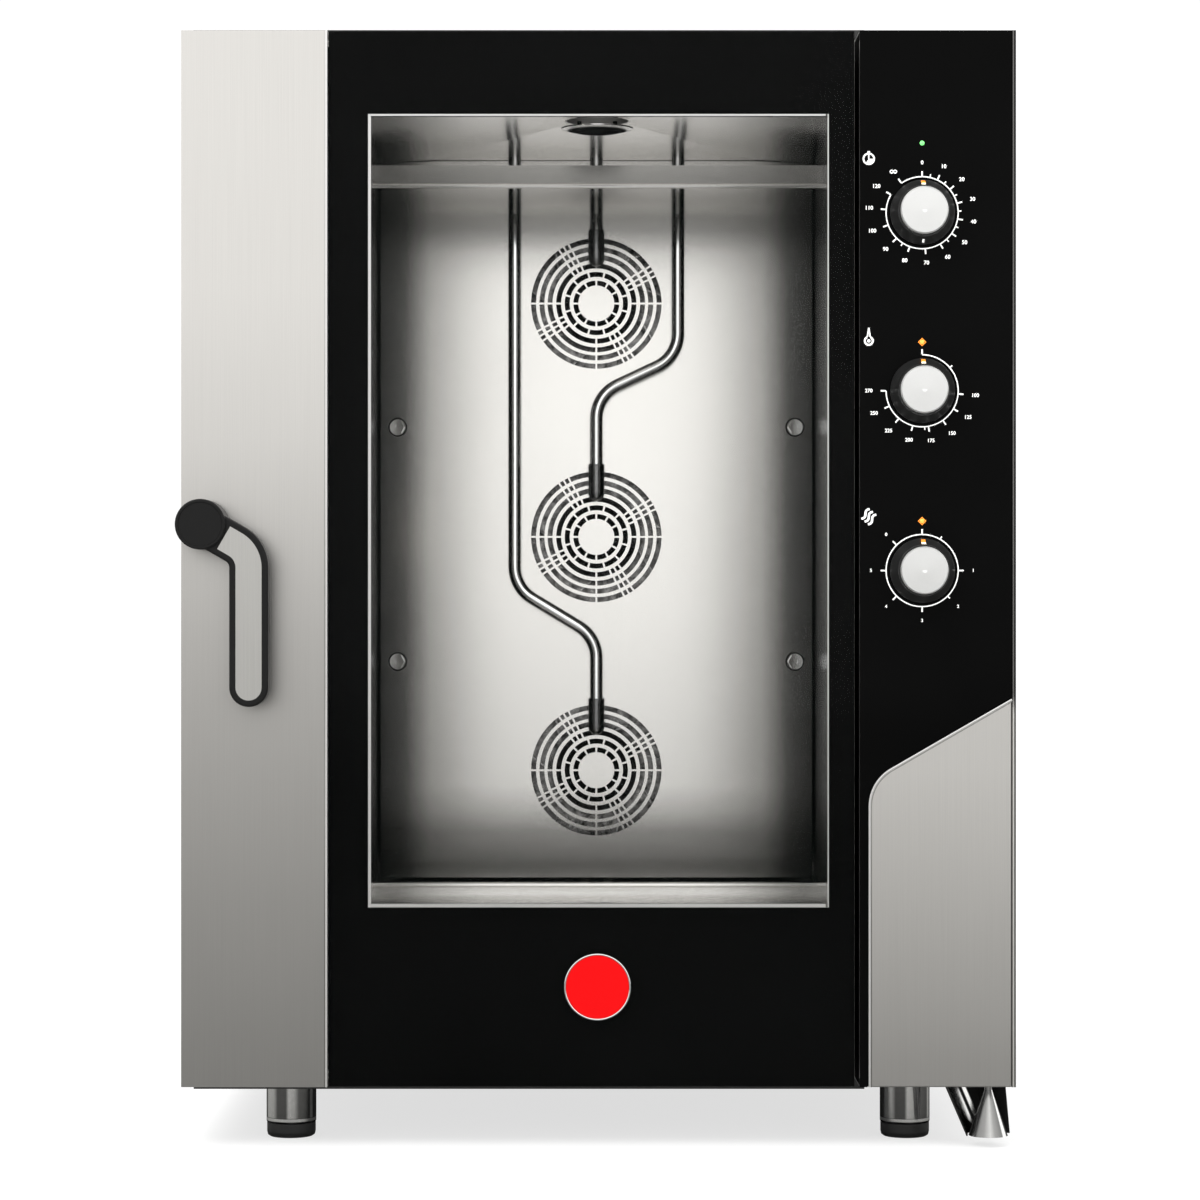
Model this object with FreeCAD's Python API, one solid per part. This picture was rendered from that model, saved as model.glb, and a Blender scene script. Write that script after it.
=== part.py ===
import FreeCAD, Part

import math
import os

# Combi steamer oven: a free-standing ten-shelf case with a glass door, a fixed control column at its right,
# three steam-injected fans behind a perforated deflector, and four levelling feet.
# Frame of the sizes below: X across (0 = middle of the case), Y from the door's front face (0) to the back,
# Z up from the floor. save() moves the whole model in Y so that the origin is the centre of its footprint.
# All sizes are in millimetres.

V = FreeCAD.Vector

# ---- case ----
CASE_WIDTH = 850.0
FOOT_HEIGHT = 64.0
CASE_HEIGHT = 1076.0
CASE_DEPTH = 955.0
SHEET = 1.5
FITTING_PROUD = 22.0
TRAY_LIP = 25.0
SIDE_HEM = 9.0
EDGE_FOLD = 4.0
LOUVRE_ROWS = 8
LOUVRE_PITCH = 16.0
LOUVRE_X = 255.0
LOUVRE_SIZE = (120.0, 5.0)
SCREW_HEIGHTS = [90.0, 340.0, 600.0, 860.0, 1120.0]
SCREW_SPREAD = 210.0
SCREW_HEAD = [(4.5, 0.0), (4.0, 1.8), (2.5, 2.4), (0.0, 2.4)]
LID_SCREW_X = [-320.0, -110.0, 110.0, 320.0]

LEFT = -CASE_WIDTH / 2
RIGHT = CASE_WIDTH / 2
BOTTOM = FOOT_HEIGHT
TOP = BOTTOM + CASE_HEIGHT
BACK = CASE_DEPTH
REAR_END = BACK + FITTING_PROUD

# ---- door ----
COLUMN_WIDTH = 159.0
COLUMN_LEFT = RIGHT - COLUMN_WIDTH
DOOR_GAP = 5.0
DOOR_RIGHT = COLUMN_LEFT - DOOR_GAP
DOOR_THICK = 58.0
STRIP_WIDTH = 149.0
GLASS_LEFT = LEFT + STRIP_WIDTH + 1.0
GLASS_THICK = 6.0
MASK_THICK = 0.5
DOOR_RIM = 14.0
FRAME_SETBACK = 4.0
FRAME_CHAMFER = (8.0, 3.0)
INNER_GLASS_FRONT = 50.0
INNER_GLASS_THICK = 4.0
INNER_GLASS_LAP = 9.0
STRIP_SETBACK = 1.0
FRAME_LEFT = 2.5
SEAT_WALL = 2.0
BADGE_CENTRE = (-1.0, 166.0)
BADGE_RADIUS = 33.5

# clear part of the outer glass, and the sheet-metal tunnel between the two glasses
WINDOW_HALF = 235.0
WINDOW_BOTTOM = 246.4
WINDOW_TOP = 1055.8
TUNNEL_HALF = 237.2
TUNNEL_TOP = 1060.0

# ---- front frame and cooking cavity ----
FACADE_FRONT = 66.0
FACADE_BACK = FACADE_FRONT + SHEET
MOUTH_HALF = 243.0
MOUTH_BOTTOM = 232.0
MOUTH_TOP = 1072.0
GASKET_WIDTH = 11.0
GASKET_FRONT = 58.6
CAVITY_HALF = 262.5
CAVITY_FLOOR = 220.0
CAVITY_CEILING = 1086.0
CEILING_RISE = 10.0
CEILING_FLAT = 90.0
CAVITY_BACK = 745.0
CAVITY_MIDDLE = 350.0
INSULATION = 36.0
INSULATION_TOP = 1120.0
INSULATION_BACK = 790.0
LINER_CLEAR = 4.0
WOOL_CLEAR = 6.0

# ---- fans, deflector and steam pipes ----
FAN_MIDDLE = 636.0
FAN_PITCH = 281.0
FAN_HEIGHTS = [FAN_MIDDLE + FAN_PITCH, FAN_MIDDLE, FAN_MIDDLE - FAN_PITCH]
FAN_NAMES = ["upper", "middle", "lower"]
FAN_RADIUS = 104.0
FAN_FRONT = 652.0
FAN_DEPTH = 46.0
FAN_BLADES = 9
FAN_EYE = 84.0
FAN_HUB = (14.0, 20.0)
BLADE_ROOT = 46.0
BLADE_LEAN = 28.0
SHAFT_RADIUS = 8.0
RUNNING = 0.06
DEFLECTOR_FRONT = 640.0
DEFLECTOR_HALF = 259.5
GRILLE_RADII = [24.7, 35.1, 45.4, 55.8, 65.5, 75.6]
GRILLE_SLOT = 6.0
GRILLE_BRIDGE = 2.2
GRILLE_CELL = 6.4
GRILLE_ARM_ANGLE = 30.0
HEATER_RADIUS = 118.0
HEATER_TUBE = 4.2
HEATER_TURNS = [662.0, 676.0, 690.0]
TERMINAL_X = 14.0
MOTOR_RADIUS = 56.0
MOTOR_LENGTH = 92.0
MOTOR_FLANGE = 68.0
SHAFT_IN_MOTOR = 40.0
THUMB_SCREW_X = 239.0
THUMB_SCREW_RADIUS = 8.5
THUMB_SCREW_HEAD = 9.0
THUMB_SCREW_HEIGHTS = [768.0, 486.0]
RAIL_Y = 495.0
RAIL_HEIGHTS = [(1038.0, 1065.0), (220.0, 232.0)]
RAIL_THICK = 2.0
RAIL_ROLL = 3.0
PIPE_RADIUS = 7.5
PIPE_Y = 625.0
PIPE_SIDE = 98.0
PIPE_BEND = 44.0
NOZZLE_RISE = 45.0
NOZZLE_LENGTH = 42.0
NOZZLE_RADIUS = 9.5
NOZZLE_SOCKET = 6.0
MANIFOLD_Z = 1130.0
MANIFOLD_RADIUS = 7.0
MANIFOLD_BEND = 30.0
VALVE_X = 345.0
VALVE_Y = 905.0
VALVE_Z = 180.0
VALVE_TOP = 22.0

# ---- hinge and handle ----
PIVOT_X = DOOR_RIGHT - 18.0
PIVOT_Y = 12.5
PIN_RADIUS = 4.0
PIN_LENGTH = 27.0
EYE_RADIUS = 5.6
ARM_WIDTH = 12.0
ARM_THICK = 6.0
BRACKET_PLATE = 3.0
BRACKET_SIDES = (30.0, 14.0)
BRACKET_HEIGHTS = (32.0, 38.0)
HANDLE_X = -399.5
HANDLE_Z = 636.0
HUB_RADIUS = 25.4
HUB_FRONT = -56.0
GRIP_FRONT = -52.0
GRIP_BACK = -32.0
GRIP_WIDTH = 39.2
GRIP_BEND = 27.0
GRIP_SLOPE = 30.0
GRIP_X = -351.2
GRIP_END_Z = 472.2
INLAY_WIDTH = GRIP_WIDTH - 13.0
INLAY_DEPTH = 2.0
INLAY_START = HUB_RADIUS + 1.5
GRIP_ROUND = 2.5
SPINDLE_RADIUS = 8.0
SPINDLE_ENDS = (-42.0, 76.0)
BEARING_RADIUS = 18.0
HOOK_THICK = 6.0
HOOK_BOSS = 12.0
HOOK_HALF = 7.0
HOOK_REACH = 30.0
LATCH_SLOT = (14.0, 33.0, 35.0, 13.0)
KEEPER_SIDE = 3.0
KEEPER_HEIGHTS = (48.0, 36.0)
KEEPER_DEPTH = 16.0
KEEPER_BAR = 3.5

# ---- control column ----
PANEL_THICK = 5.0
PLATE_FRONT = 5.2
PANEL_RIGHT = RIGHT - 4.5
COVER_LEFT = 275.0
COVER_GAP = 1.0
COVER_CORNER_Z = 375.5
COVER_RADIUS = 45.0
COVER_SLOPE = 30.0
KNOB_X = 329.5
KNOB_HEIGHTS = [954.3, 773.0, 590.0]
KNOB_NAMES = ["timer", "temperature", "steam"]
LAMP_RISES = [70.9, 49.6, 50.4]
SKIRT_RADIUS = 32.8
CAP_RADIUS = 24.1
KNOB_SHAFT = 3.0
KNOB_SHAFT_END = 28.0
SKIRT_FRONT = -22.0
KNOB_HOLE = 5.0
LAMP_RADIUS = 2.4
LAMP_HOLE = 2.5
SWITCH_HALF = 24.0
SWITCH_DEPTHS = [48.0, 36.0, 42.0]

# ---- feet and drip nozzle ----
FOOT_X = 321.0
FOOT_FRONT_Y = 100.0
FOOT_REAR_Y = 870.0
FOOT_RADIUS = 26.0
FOOT_TIP = 14.5
STEM_RADIUS = 12.0
CONE_X = 400.0
CONE_Y = 28.0
CONE_BOTTOM = 11.0
CONE_RADII = (20.0, 4.0)
SLEEVE_BOTTOM = FOOT_TIP + 0.5
COWL_TOP = [(354.0, 18.0), (364.0, 46.0), (392.0, 60.0), (419.0, 40.0)]
COWL_MOUTH = [(377.0, 22.0), (380.0, 44.0), (396.0, 57.0), (424.0, 42.0)]
COWL_THICK = 1.5
COWL_TAPER = 0.05

# ---- vent, drain, lamp ----
CHIMNEY_RADIUS = 36.0
CHIMNEY_TOP = 1170.0
CHIMNEY_COLLAR = 14.0
VENT_DISC_RADIUS = 40.5
VENT_DISC_Z = 1085.0
DRAIN_RADIUS = 20.0
DRAIN_Z = 112.0
DRAIN_WALL = 2.0
DRAIN_BEND = 45.0
STRAINER_RING = 11.0
STRAINER_HOLE = 2.2
DRAIN_COLLAR = 2.0
DRAIN_SPIGOT = 18.8
INLET_RADIUS = 13.2
INLET_FLANGE = 3.0
INLET_BORE = 9.0
GLAND_THREAD = 14.0
GLAND_BORE = 7.5
GLAND_NUT = 20.0
BACK_HOLE_GAP = 1.0
LAMP_Y = 230.0
LAMP_Z = 650.0
LAMP_RING = 44.0
LAMP_LENS = 34.0
LAMP_HOLDER = 30.0

FRAME_SHIFT = V(0, -(REAR_END + HUB_FRONT) / 2, 0)


# ------------------------------------------------------------------ helpers

def box(x0, x1, y0, y1, z0, z1):
    """A block between two corners."""
    return Part.makeBox(x1 - x0, y1 - y0, z1 - z0, V(x0, y0, z0))


def cylinder(radius, start, end):
    """A round bar between two points."""
    along = end - start
    return Part.makeCylinder(radius, along.Length, start, along)


def cylinder_y(radius, x, z, y0, y1):
    """A round bar along Y."""
    return cylinder(radius, V(x, y0, z), V(x, y1, z))


def cylinder_z(radius, x, y, z0, z1):
    """A round bar along Z."""
    return cylinder(radius, V(x, y, z0), V(x, y, z1))


def rectangle_xz(x0, x1, z0, z1, y):
    """A closed rectangular outline that faces the front."""
    corners = [V(x0, y, z0), V(x1, y, z0), V(x1, y, z1), V(x0, y, z1), V(x0, y, z0)]
    return Part.makePolygon(corners)


def rectangle_xy(x0, x1, y0, y1, z):
    """A closed level rectangular outline."""
    corners = [V(x0, y0, z), V(x1, y0, z), V(x1, y1, z), V(x0, y1, z), V(x0, y0, z)]
    return Part.makePolygon(corners)


def circle_xz(radius, x, z, y):
    """A round outline that faces the front."""
    return Part.Wire(Part.makeCircle(radius, V(x, y, z), V(0, 1, 0)))


def plate_y(outline, holes, thickness):
    """A sheet from an outline that faces the front, with holes, and its thickness to the back."""
    face = Part.makeFace([outline] + holes, "Part::FaceMakerBullseye")
    return face.extrude(V(0, thickness, 0))


def hexagon_y(radius, x, z, y, thickness):
    """A hexagonal block that faces the front."""
    corners = []
    for step in range(7):
        angle = step * math.pi / 3
        corners.append(V(x + radius * math.cos(angle), y, z + radius * math.sin(angle)))
    return Part.Face(Part.makePolygon(corners)).extrude(V(0, thickness, 0))


def prism_z(points, z0, z1):
    """A straight prism on a plan outline of (x, y) corners."""
    corners = [V(x, y, z0) for x, y in points]
    face = Part.Face(Part.makePolygon(corners + corners[:1]))
    return face.extrude(V(0, 0, z1 - z0))


def revolve_y(profile, x, z):
    """A turned piece about an axis along Y, from a closed profile of (radius, y) corners."""
    corners = [V(x + r, y, z) for r, y in profile]
    face = Part.Face(Part.makePolygon(corners + corners[:1]))
    return face.revolve(V(x, 0, z), V(0, 1, 0), 360)


def revolve_z(profile, x, y):
    """A turned piece about an axis along Z, from a closed profile of (radius, z) corners."""
    corners = [V(x + r, y, z) for r, z in profile]
    face = Part.Face(Part.makePolygon(corners + corners[:1]))
    return face.revolve(V(x, y, 0), V(0, 0, 1), 360)


def route(points, bend):
    """Straight runs through the points, joined by tangent arcs of one radius."""
    edges = []
    start = points[0]
    for before, corner, after in zip(points, points[1:], points[2:]):
        inward = (before - corner).normalize()
        outward = (after - corner).normalize()
        turn = math.pi - inward.getAngle(outward)
        reach = bend * math.tan(turn / 2)
        first = corner + inward * reach
        last = corner + outward * reach
        bisector = (inward + outward).normalize()
        middle = corner + bisector * (bend / math.cos(turn / 2) - bend)
        edges.append(Part.LineSegment(start, first).toShape())
        edges.append(Part.Arc(first, middle, last).toShape())
        start = last
    edges.append(Part.LineSegment(start, points[-1]).toShape())
    return Part.Wire(edges)


def tube(points, bend, radius, bore=0.0):
    """A round pipe along a route; with a bore it is hollow."""
    path = route(points, bend)
    axis = points[1] - points[0]
    section = Part.Wire(Part.makeCircle(radius, points[0], axis))
    body = path.makePipeShell([section], True, True)
    if bore > 0:
        hollow = Part.Wire(Part.makeCircle(bore, points[0], axis))
        body = body.cut(path.makePipeShell([hollow], True, True))
    return body


def fuse(shapes):
    """One solid from several that touch."""
    first, rest = shapes[0], shapes[1:]
    return first.multiFuse(rest).removeSplitter() if rest else first


def save(name, *solids):
    """Writes one node, in the frame whose origin is the middle of the footprint at floor level."""
    shape = Part.makeCompound(list(solids)) if len(solids) > 1 else solids[0]
    placed = shape.copy()
    placed.translate(FRAME_SHIFT)
    placed.exportStep(os.path.join("parts", name + ".step"))


# ------------------------------------------------------------------ case

def base_tray():
    """Floor pan with turned-up edges, and the tongue under the control column."""
    x0, x1 = LEFT + SHEET, RIGHT - SHEET
    y0, y1 = FACADE_BACK, BACK - SHEET
    lip = BOTTOM + TRAY_LIP
    floor = box(x0, x1, y0, y1, BOTTOM, BOTTOM + SHEET)
    tongue = box(COLUMN_LEFT, x1, PLATE_FRONT + SHEET, y0, BOTTOM, BOTTOM + SHEET)
    left = box(x0, x0 + SHEET, y0, y1, BOTTOM, lip)
    right = box(x1 - SHEET, x1, y0, y1, BOTTOM, lip)
    front = box(x0, x1, y0, y0 + SHEET, BOTTOM, lip)
    back = box(x0, x1, y1 - SHEET, y1, BOTTOM, lip)
    return fuse([floor, tongue, left, right, front, back])


def left_side_panel():
    """Left skin with a turned-in front edge."""
    skin = box(LEFT, LEFT + SHEET, FACADE_FRONT - SHEET, BACK, BOTTOM, TOP - SHEET)
    hem = box(LEFT, LEFT + SIDE_HEM, FACADE_FRONT - SHEET, FACADE_FRONT, BOTTOM, TOP - SHEET)
    return fuse([skin, hem])


def right_side_panel():
    """Right skin, whose narrow front fold frames the control column."""
    skin = box(RIGHT - SHEET, RIGHT, 0, BACK, BOTTOM, TOP - SHEET)
    fold = box(RIGHT - EDGE_FOLD, RIGHT, 0, SHEET, BOTTOM, TOP - SHEET)
    return fuse([skin, fold])


def top_cover():
    """Lid over the case and the control column, with the chimney's hole."""
    front = FACADE_FRONT - SHEET
    outline = [(LEFT, front), (COLUMN_LEFT, front), (COLUMN_LEFT, PLATE_FRONT), (PANEL_RIGHT, PLATE_FRONT),
               (PANEL_RIGHT, 0), (RIGHT, 0), (RIGHT, BACK), (LEFT, BACK)]
    lid = prism_z(outline, TOP - SHEET, TOP)
    return lid.cut(cylinder_z(CHIMNEY_RADIUS + SHEET, 0, CAVITY_MIDDLE, TOP - 2 * SHEET, TOP + SHEET))


def louvre_holes():
    """Rows of cooling slots beside the motors."""
    wide, high = LOUVRE_SIZE
    first = -LOUVRE_PITCH * (LOUVRE_ROWS - 1) / 2
    holes = []
    for height in FAN_HEIGHTS:
        for middle in (-LOUVRE_X, LOUVRE_X):
            for row in range(LOUVRE_ROWS):
                z = height + first + row * LOUVRE_PITCH
                holes.append(rectangle_xz(middle - wide / 2, middle + wide / 2, z, z + high, BACK - SHEET))
    return holes


def back_panel():
    """Rear skin with louvres and holes for the water, drain and mains."""
    y = BACK - SHEET
    outline = rectangle_xz(LEFT + SHEET, RIGHT - SHEET, BOTTOM + SHEET, TOP - SHEET, y)
    drain = circle_xz(DRAIN_RADIUS + BACK_HOLE_GAP, 0, DRAIN_Z, y)
    water = circle_xz(INLET_RADIUS + BACK_HOLE_GAP, VALVE_X, VALVE_Z, y)
    mains = circle_xz(GLAND_THREAD + BACK_HOLE_GAP, VALVE_X, DRAIN_Z, y)
    return plate_y(outline, louvre_holes() + [drain, water, mains], SHEET)


def front_facade():
    """Front frame behind the door, with the cavity's mouth and the latch's slot."""
    y = FACADE_FRONT
    outline = rectangle_xz(LEFT + SHEET, COLUMN_LEFT, BOTTOM, TOP - SHEET, y)
    mouth = rectangle_xz(-MOUTH_HALF, MOUTH_HALF, MOUTH_BOTTOM, MOUTH_TOP, y)
    left, right, down, up = LATCH_SLOT
    latch = rectangle_xz(HANDLE_X - left, HANDLE_X + right, HANDLE_Z - down, HANDLE_Z + up, y)
    return plate_y(outline, [mouth, latch], SHEET)


# ------------------------------------------------------------------ cavity

def cavity_block(grow):
    """The cavity's space with its hipped ceiling, grown by a wall on every side but the front."""
    half = CAVITY_HALF + grow
    back = CAVITY_BACK + grow
    eaves = CAVITY_CEILING + grow
    flat = CEILING_FLAT / 2
    room = box(-half, half, FACADE_BACK, back, CAVITY_FLOOR - grow, eaves)
    base = rectangle_xy(-half, half, FACADE_BACK, back, eaves)
    crown = rectangle_xy(-flat, flat, CAVITY_MIDDLE - flat, CAVITY_MIDDLE + flat, eaves + CEILING_RISE)
    return fuse([room, Part.makeLoft([base, crown], True, True)])


def heater_terminals(height, radius, y0, y1):
    """The two straight ends of one heating ring."""
    z = height - HEATER_RADIUS
    return [cylinder_y(radius, x, z, y0, y1) for x in (-TERMINAL_X, TERMINAL_X)]


def wall_openings(clear):
    """Round ways through the cavity's walls and its insulation: wide for the shafts, tighter for the rest."""
    past = 5.0
    y0, y1 = CAVITY_BACK - past, INSULATION_BACK + past
    top = INSULATION_TOP + past
    tight = clear / 8
    ways = []
    for height in FAN_HEIGHTS:
        ways.append(cylinder_y(SHAFT_RADIUS + clear, 0, height, y0, y1))
        ways += heater_terminals(height, HEATER_TUBE + 2 * tight, y0, y1)
    for x in (-PIPE_SIDE, 0, PIPE_SIDE):
        ways.append(cylinder_z(PIPE_RADIUS + tight, x, PIPE_Y, CAVITY_CEILING - past, top))
    ways.append(cylinder_z(CHIMNEY_RADIUS + tight, 0, CAVITY_MIDDLE, CAVITY_CEILING, top))
    sump = CAVITY_FLOOR - INSULATION - 4 * past
    ways.append(cylinder_z(DRAIN_RADIUS + tight, 0, CAVITY_MIDDLE, sump, CAVITY_FLOOR + past))
    outer = -CAVITY_HALF - INSULATION - past
    ways.append(cylinder(LAMP_HOLDER + 1, V(outer, LAMP_Y, LAMP_Z), V(-CAVITY_HALF + past, LAMP_Y, LAMP_Z)))
    return ways


def cavity_liner():
    """The cooking chamber: floor, walls, back and hipped ceiling welded from sheet, narrowed at the mouth."""
    shell = cavity_block(SHEET).cut(cavity_block(0))
    outline = rectangle_xz(-CAVITY_HALF - SHEET, CAVITY_HALF + SHEET, CAVITY_FLOOR - SHEET,
                           CAVITY_CEILING + SHEET, FACADE_BACK)
    mouth = rectangle_xz(-MOUTH_HALF, MOUTH_HALF, MOUTH_BOTTOM, MOUTH_TOP, FACADE_BACK)
    throat = plate_y(outline, [mouth], SHEET)
    return fuse([shell, throat]).cut(Part.makeCompound(wall_openings(LINER_CLEAR)))


def insulation():
    """Mineral wool round the cavity, open at the front."""
    half = CAVITY_HALF + SHEET
    outer = box(-half - INSULATION, half + INSULATION, FACADE_BACK + SHEET, INSULATION_BACK,
                CAVITY_FLOOR - SHEET - INSULATION, INSULATION_TOP)
    inner = box(-half, half, FACADE_BACK, CAVITY_BACK + SHEET, CAVITY_FLOOR - SHEET,
                CAVITY_CEILING + SHEET + CEILING_RISE)
    return outer.cut(inner).cut(Part.makeCompound(wall_openings(WOOL_CLEAR)))


def arc_slot(x, z, radius, start, end, y):
    """A curved slot outline about a grille's centre, between two angles in degrees."""
    def at(r, angle):
        a = math.radians(angle)
        return V(x + r * math.cos(a), y, z + r * math.sin(a))
    inner, outer = radius - GRILLE_SLOT / 2, radius + GRILLE_SLOT / 2
    middle = (start + end) / 2
    edges = [Part.Arc(at(inner, start), at(inner, middle), at(inner, end)).toShape(),
             Part.LineSegment(at(inner, end), at(outer, end)).toShape(),
             Part.Arc(at(outer, end), at(outer, middle), at(outer, start)).toShape(),
             Part.LineSegment(at(outer, start), at(inner, start)).toShape()]
    return Part.Wire(edges)


def ring_cuts(radius, ring):
    """Middle angles of the bridges in one ring: even in the two inner rings, with paired cells outside."""
    if ring < 2:
        return [ring * 15 + 30 * k for k in range(12)]
    cell = math.degrees(GRILLE_CELL / radius)
    angles = []
    for quarter in range(4):
        arm = GRILLE_ARM_ANGLE + 90 * quarter
        angles += [90 * quarter, arm - cell, arm, arm + cell]
    return angles


def grille_slots(height):
    """All slots of one fan grille."""
    slots = []
    for ring, radius in enumerate(GRILLE_RADII):
        half_bridge = math.degrees(GRILLE_BRIDGE / 2 / radius)
        angles = ring_cuts(radius, ring)
        for start, end in zip(angles, angles[1:] + [angles[0] + 360]):
            slots.append(arc_slot(0, height, radius, start + half_bridge, end - half_bridge, DEFLECTOR_FRONT))
    return slots


def fan_deflector():
    """Removable panel in front of the fans: three slotted intakes, and edges folded to the back."""
    holes = []
    for height in FAN_HEIGHTS:
        holes += grille_slots(height)
    y = DEFLECTOR_FRONT
    low, high = CAVITY_FLOOR + 6, CAVITY_CEILING - 4
    panel = plate_y(rectangle_xz(-DEFLECTOR_HALF, DEFLECTOR_HALF, low, high, y), holes, SHEET)
    folds = []
    for side in (-1, 1):
        edge = side * DEFLECTOR_HALF
        x0, x1 = sorted([edge, edge - side * SHEET])
        folds.append(box(x0, x1, y, y + 30, low, high))
    return fuse([panel] + folds)


def deflector_screws():
    """Four hexagonal thumb screws with washers that hold the deflector."""
    front = DEFLECTOR_FRONT - THUMB_SCREW_HEAD
    washer_thick = 1.0
    dimple_depth = 3.0
    screws = []
    for x in (-THUMB_SCREW_X, THUMB_SCREW_X):
        for z in THUMB_SCREW_HEIGHTS:
            head = hexagon_y(THUMB_SCREW_RADIUS, x, z, front, THUMB_SCREW_HEAD - washer_thick)
            washer = cylinder_y(THUMB_SCREW_RADIUS + 1, x, z, DEFLECTOR_FRONT - washer_thick, DEFLECTOR_FRONT)
            dimple = cylinder_y(3.0, x, z, front - 1, front + dimple_depth)
            screws.append(fuse([head, washer]).cut(dimple))
    return screws


def cross_rails():
    """Upper and lower cross rails from wall to wall, each with a rolled edge."""
    rails = []
    for index, (low, high) in enumerate(RAIL_HEIGHTS):
        strip = box(-CAVITY_HALF, CAVITY_HALF, RAIL_Y, RAIL_Y + RAIL_THICK, low, high)
        edge_z = low + RAIL_ROLL if index == 0 else high - RAIL_ROLL
        roll = cylinder(RAIL_ROLL, V(-CAVITY_HALF, RAIL_Y, edge_z), V(CAVITY_HALF, RAIL_Y, edge_z))
        rails.append(fuse([strip, roll]))
    return rails


def pipe_points(side, upper, lower, nozzle_fan):
    """Corner points of one steam pipe, from the manifold's stub to its nozzle."""
    end = FAN_HEIGHTS[nozzle_fan] + NOZZLE_RISE
    if side == 0:
        return [V(0, PIPE_Y, INSULATION_TOP), V(0, PIPE_Y, end)]
    x = side * PIPE_SIDE
    return [V(x, PIPE_Y, INSULATION_TOP), V(x, PIPE_Y, upper), V(0, PIPE_Y, lower), V(0, PIPE_Y, end)]


# side of the cavity, the two heights between which the pipe slants to the middle, and its fan
STEAM_PIPES = {
    "steam_pipe_left": pipe_points(-1, 575.0, 515.5, 2),
    "steam_pipe_centre": pipe_points(0, None, None, 0),
    "steam_pipe_right": pipe_points(1, 852.0, 806.0, 1),
}


def steam_pipe(points):
    """One polished pipe down the front of the deflector."""
    above_nozzle = points[:-1] + [points[-1] + V(0, 0, NOZZLE_LENGTH - NOZZLE_SOCKET)]
    if len(points) == 2:
        return cylinder(PIPE_RADIUS, above_nozzle[0], above_nozzle[1])
    return tube(above_nozzle, PIPE_BEND, PIPE_RADIUS)


def pipe_nozzles():
    """A sleeve with a round closed end on each pipe, just above its fan's middle."""
    nozzles = []
    for height in FAN_HEIGHTS:
        low = height + NOZZLE_RISE
        top = low + NOZZLE_LENGTH
        round_end = low + NOZZLE_RADIUS - 2
        sleeve = cylinder_z(NOZZLE_RADIUS, 0, PIPE_Y, round_end, top)
        ball = Part.makeSphere(NOZZLE_RADIUS, V(0, PIPE_Y, round_end))
        bore = cylinder_z(PIPE_RADIUS, 0, PIPE_Y, top - NOZZLE_SOCKET, top + 1)
        nozzles.append(fuse([sleeve, ball]).cut(bore))
    return nozzles


def steam_manifold():
    """Water line above the cavity, with a stub for each pipe, down to the valve at the right rear."""
    z = MANIFOLD_Z
    points = [V(-PIPE_SIDE - 12, PIPE_Y, z), V(VALVE_X, PIPE_Y, z), V(VALVE_X, VALVE_Y, z),
              V(VALVE_X, VALVE_Y, VALVE_Z + VALVE_TOP)]
    line = tube(points, MANIFOLD_BEND, MANIFOLD_RADIUS)
    stubs = [cylinder_z(PIPE_RADIUS, x, PIPE_Y, INSULATION_TOP, z) for x in (-PIPE_SIDE, 0, PIPE_SIDE)]
    return fuse([line] + stubs)


def vent_disc():
    """Dished baffle under the exhaust hole, on two studs."""
    z = VENT_DISC_Z
    r = VENT_DISC_RADIUS
    dish = r * 0.55
    profile = [(0, z - 2), (dish, z - 2), (r - 1, z + 2), (r, z + 3.2), (r - 2, z + 3.6), (dish, z), (0, z)]
    dish = revolve_z(profile, 0, CAVITY_MIDDLE)
    ceiling = CAVITY_CEILING + CEILING_RISE
    studs = [cylinder_z(2.5, x, CAVITY_MIDDLE, z - 1, ceiling) for x in (-20, 20)]
    return fuse([dish] + studs)


def exhaust_chimney():
    """Flue for surplus steam, from the ceiling up through the lid, with a collar on the lid."""
    x, y = 0, CAVITY_MIDDLE
    outside = cylinder_z(CHIMNEY_RADIUS, x, y, CAVITY_CEILING + CEILING_RISE + 0.2, CHIMNEY_TOP)
    collar = cylinder_z(CHIMNEY_RADIUS + CHIMNEY_COLLAR, x, y, TOP, TOP + 2)
    bore = cylinder_z(CHIMNEY_RADIUS - SHEET, x, y, CAVITY_CEILING, CHIMNEY_TOP + 5)
    return fuse([outside, collar]).cut(bore)


def drain_pipe():
    """Strainer flush with the floor, the pipe that leads it out at the back, and a collar and hose spigot."""
    start = V(0, CAVITY_MIDDLE, CAVITY_FLOOR)
    points = [start, V(0, CAVITY_MIDDLE, DRAIN_Z), V(0, BACK, DRAIN_Z)]
    pipe = tube(points, DRAIN_BEND, DRAIN_RADIUS, DRAIN_RADIUS - DRAIN_WALL)
    collar = cylinder_y(DRAIN_RADIUS + 6, 0, DRAIN_Z, BACK, BACK + DRAIN_COLLAR)
    spigot = cylinder_y(DRAIN_SPIGOT, 0, DRAIN_Z, BACK, REAR_END)
    outlet = fuse([collar, spigot]).cut(cylinder_y(DRAIN_RADIUS - 3, 0, DRAIN_Z, BACK - 1, REAR_END + 1))
    grid = cylinder_z(DRAIN_RADIUS - 1, 0, CAVITY_MIDDLE, CAVITY_FLOOR - 4, CAVITY_FLOOR - 2)
    holes = []
    for index in range(8):
        angle = index * math.pi / 4
        x = STRAINER_RING * math.cos(angle)
        y = CAVITY_MIDDLE + STRAINER_RING * math.sin(angle)
        holes.append(cylinder_z(STRAINER_HOLE, x, y, CAVITY_FLOOR - 5, CAVITY_FLOOR))
    return fuse([pipe, outlet, grid.cut(Part.makeCompound(holes))])


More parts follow.
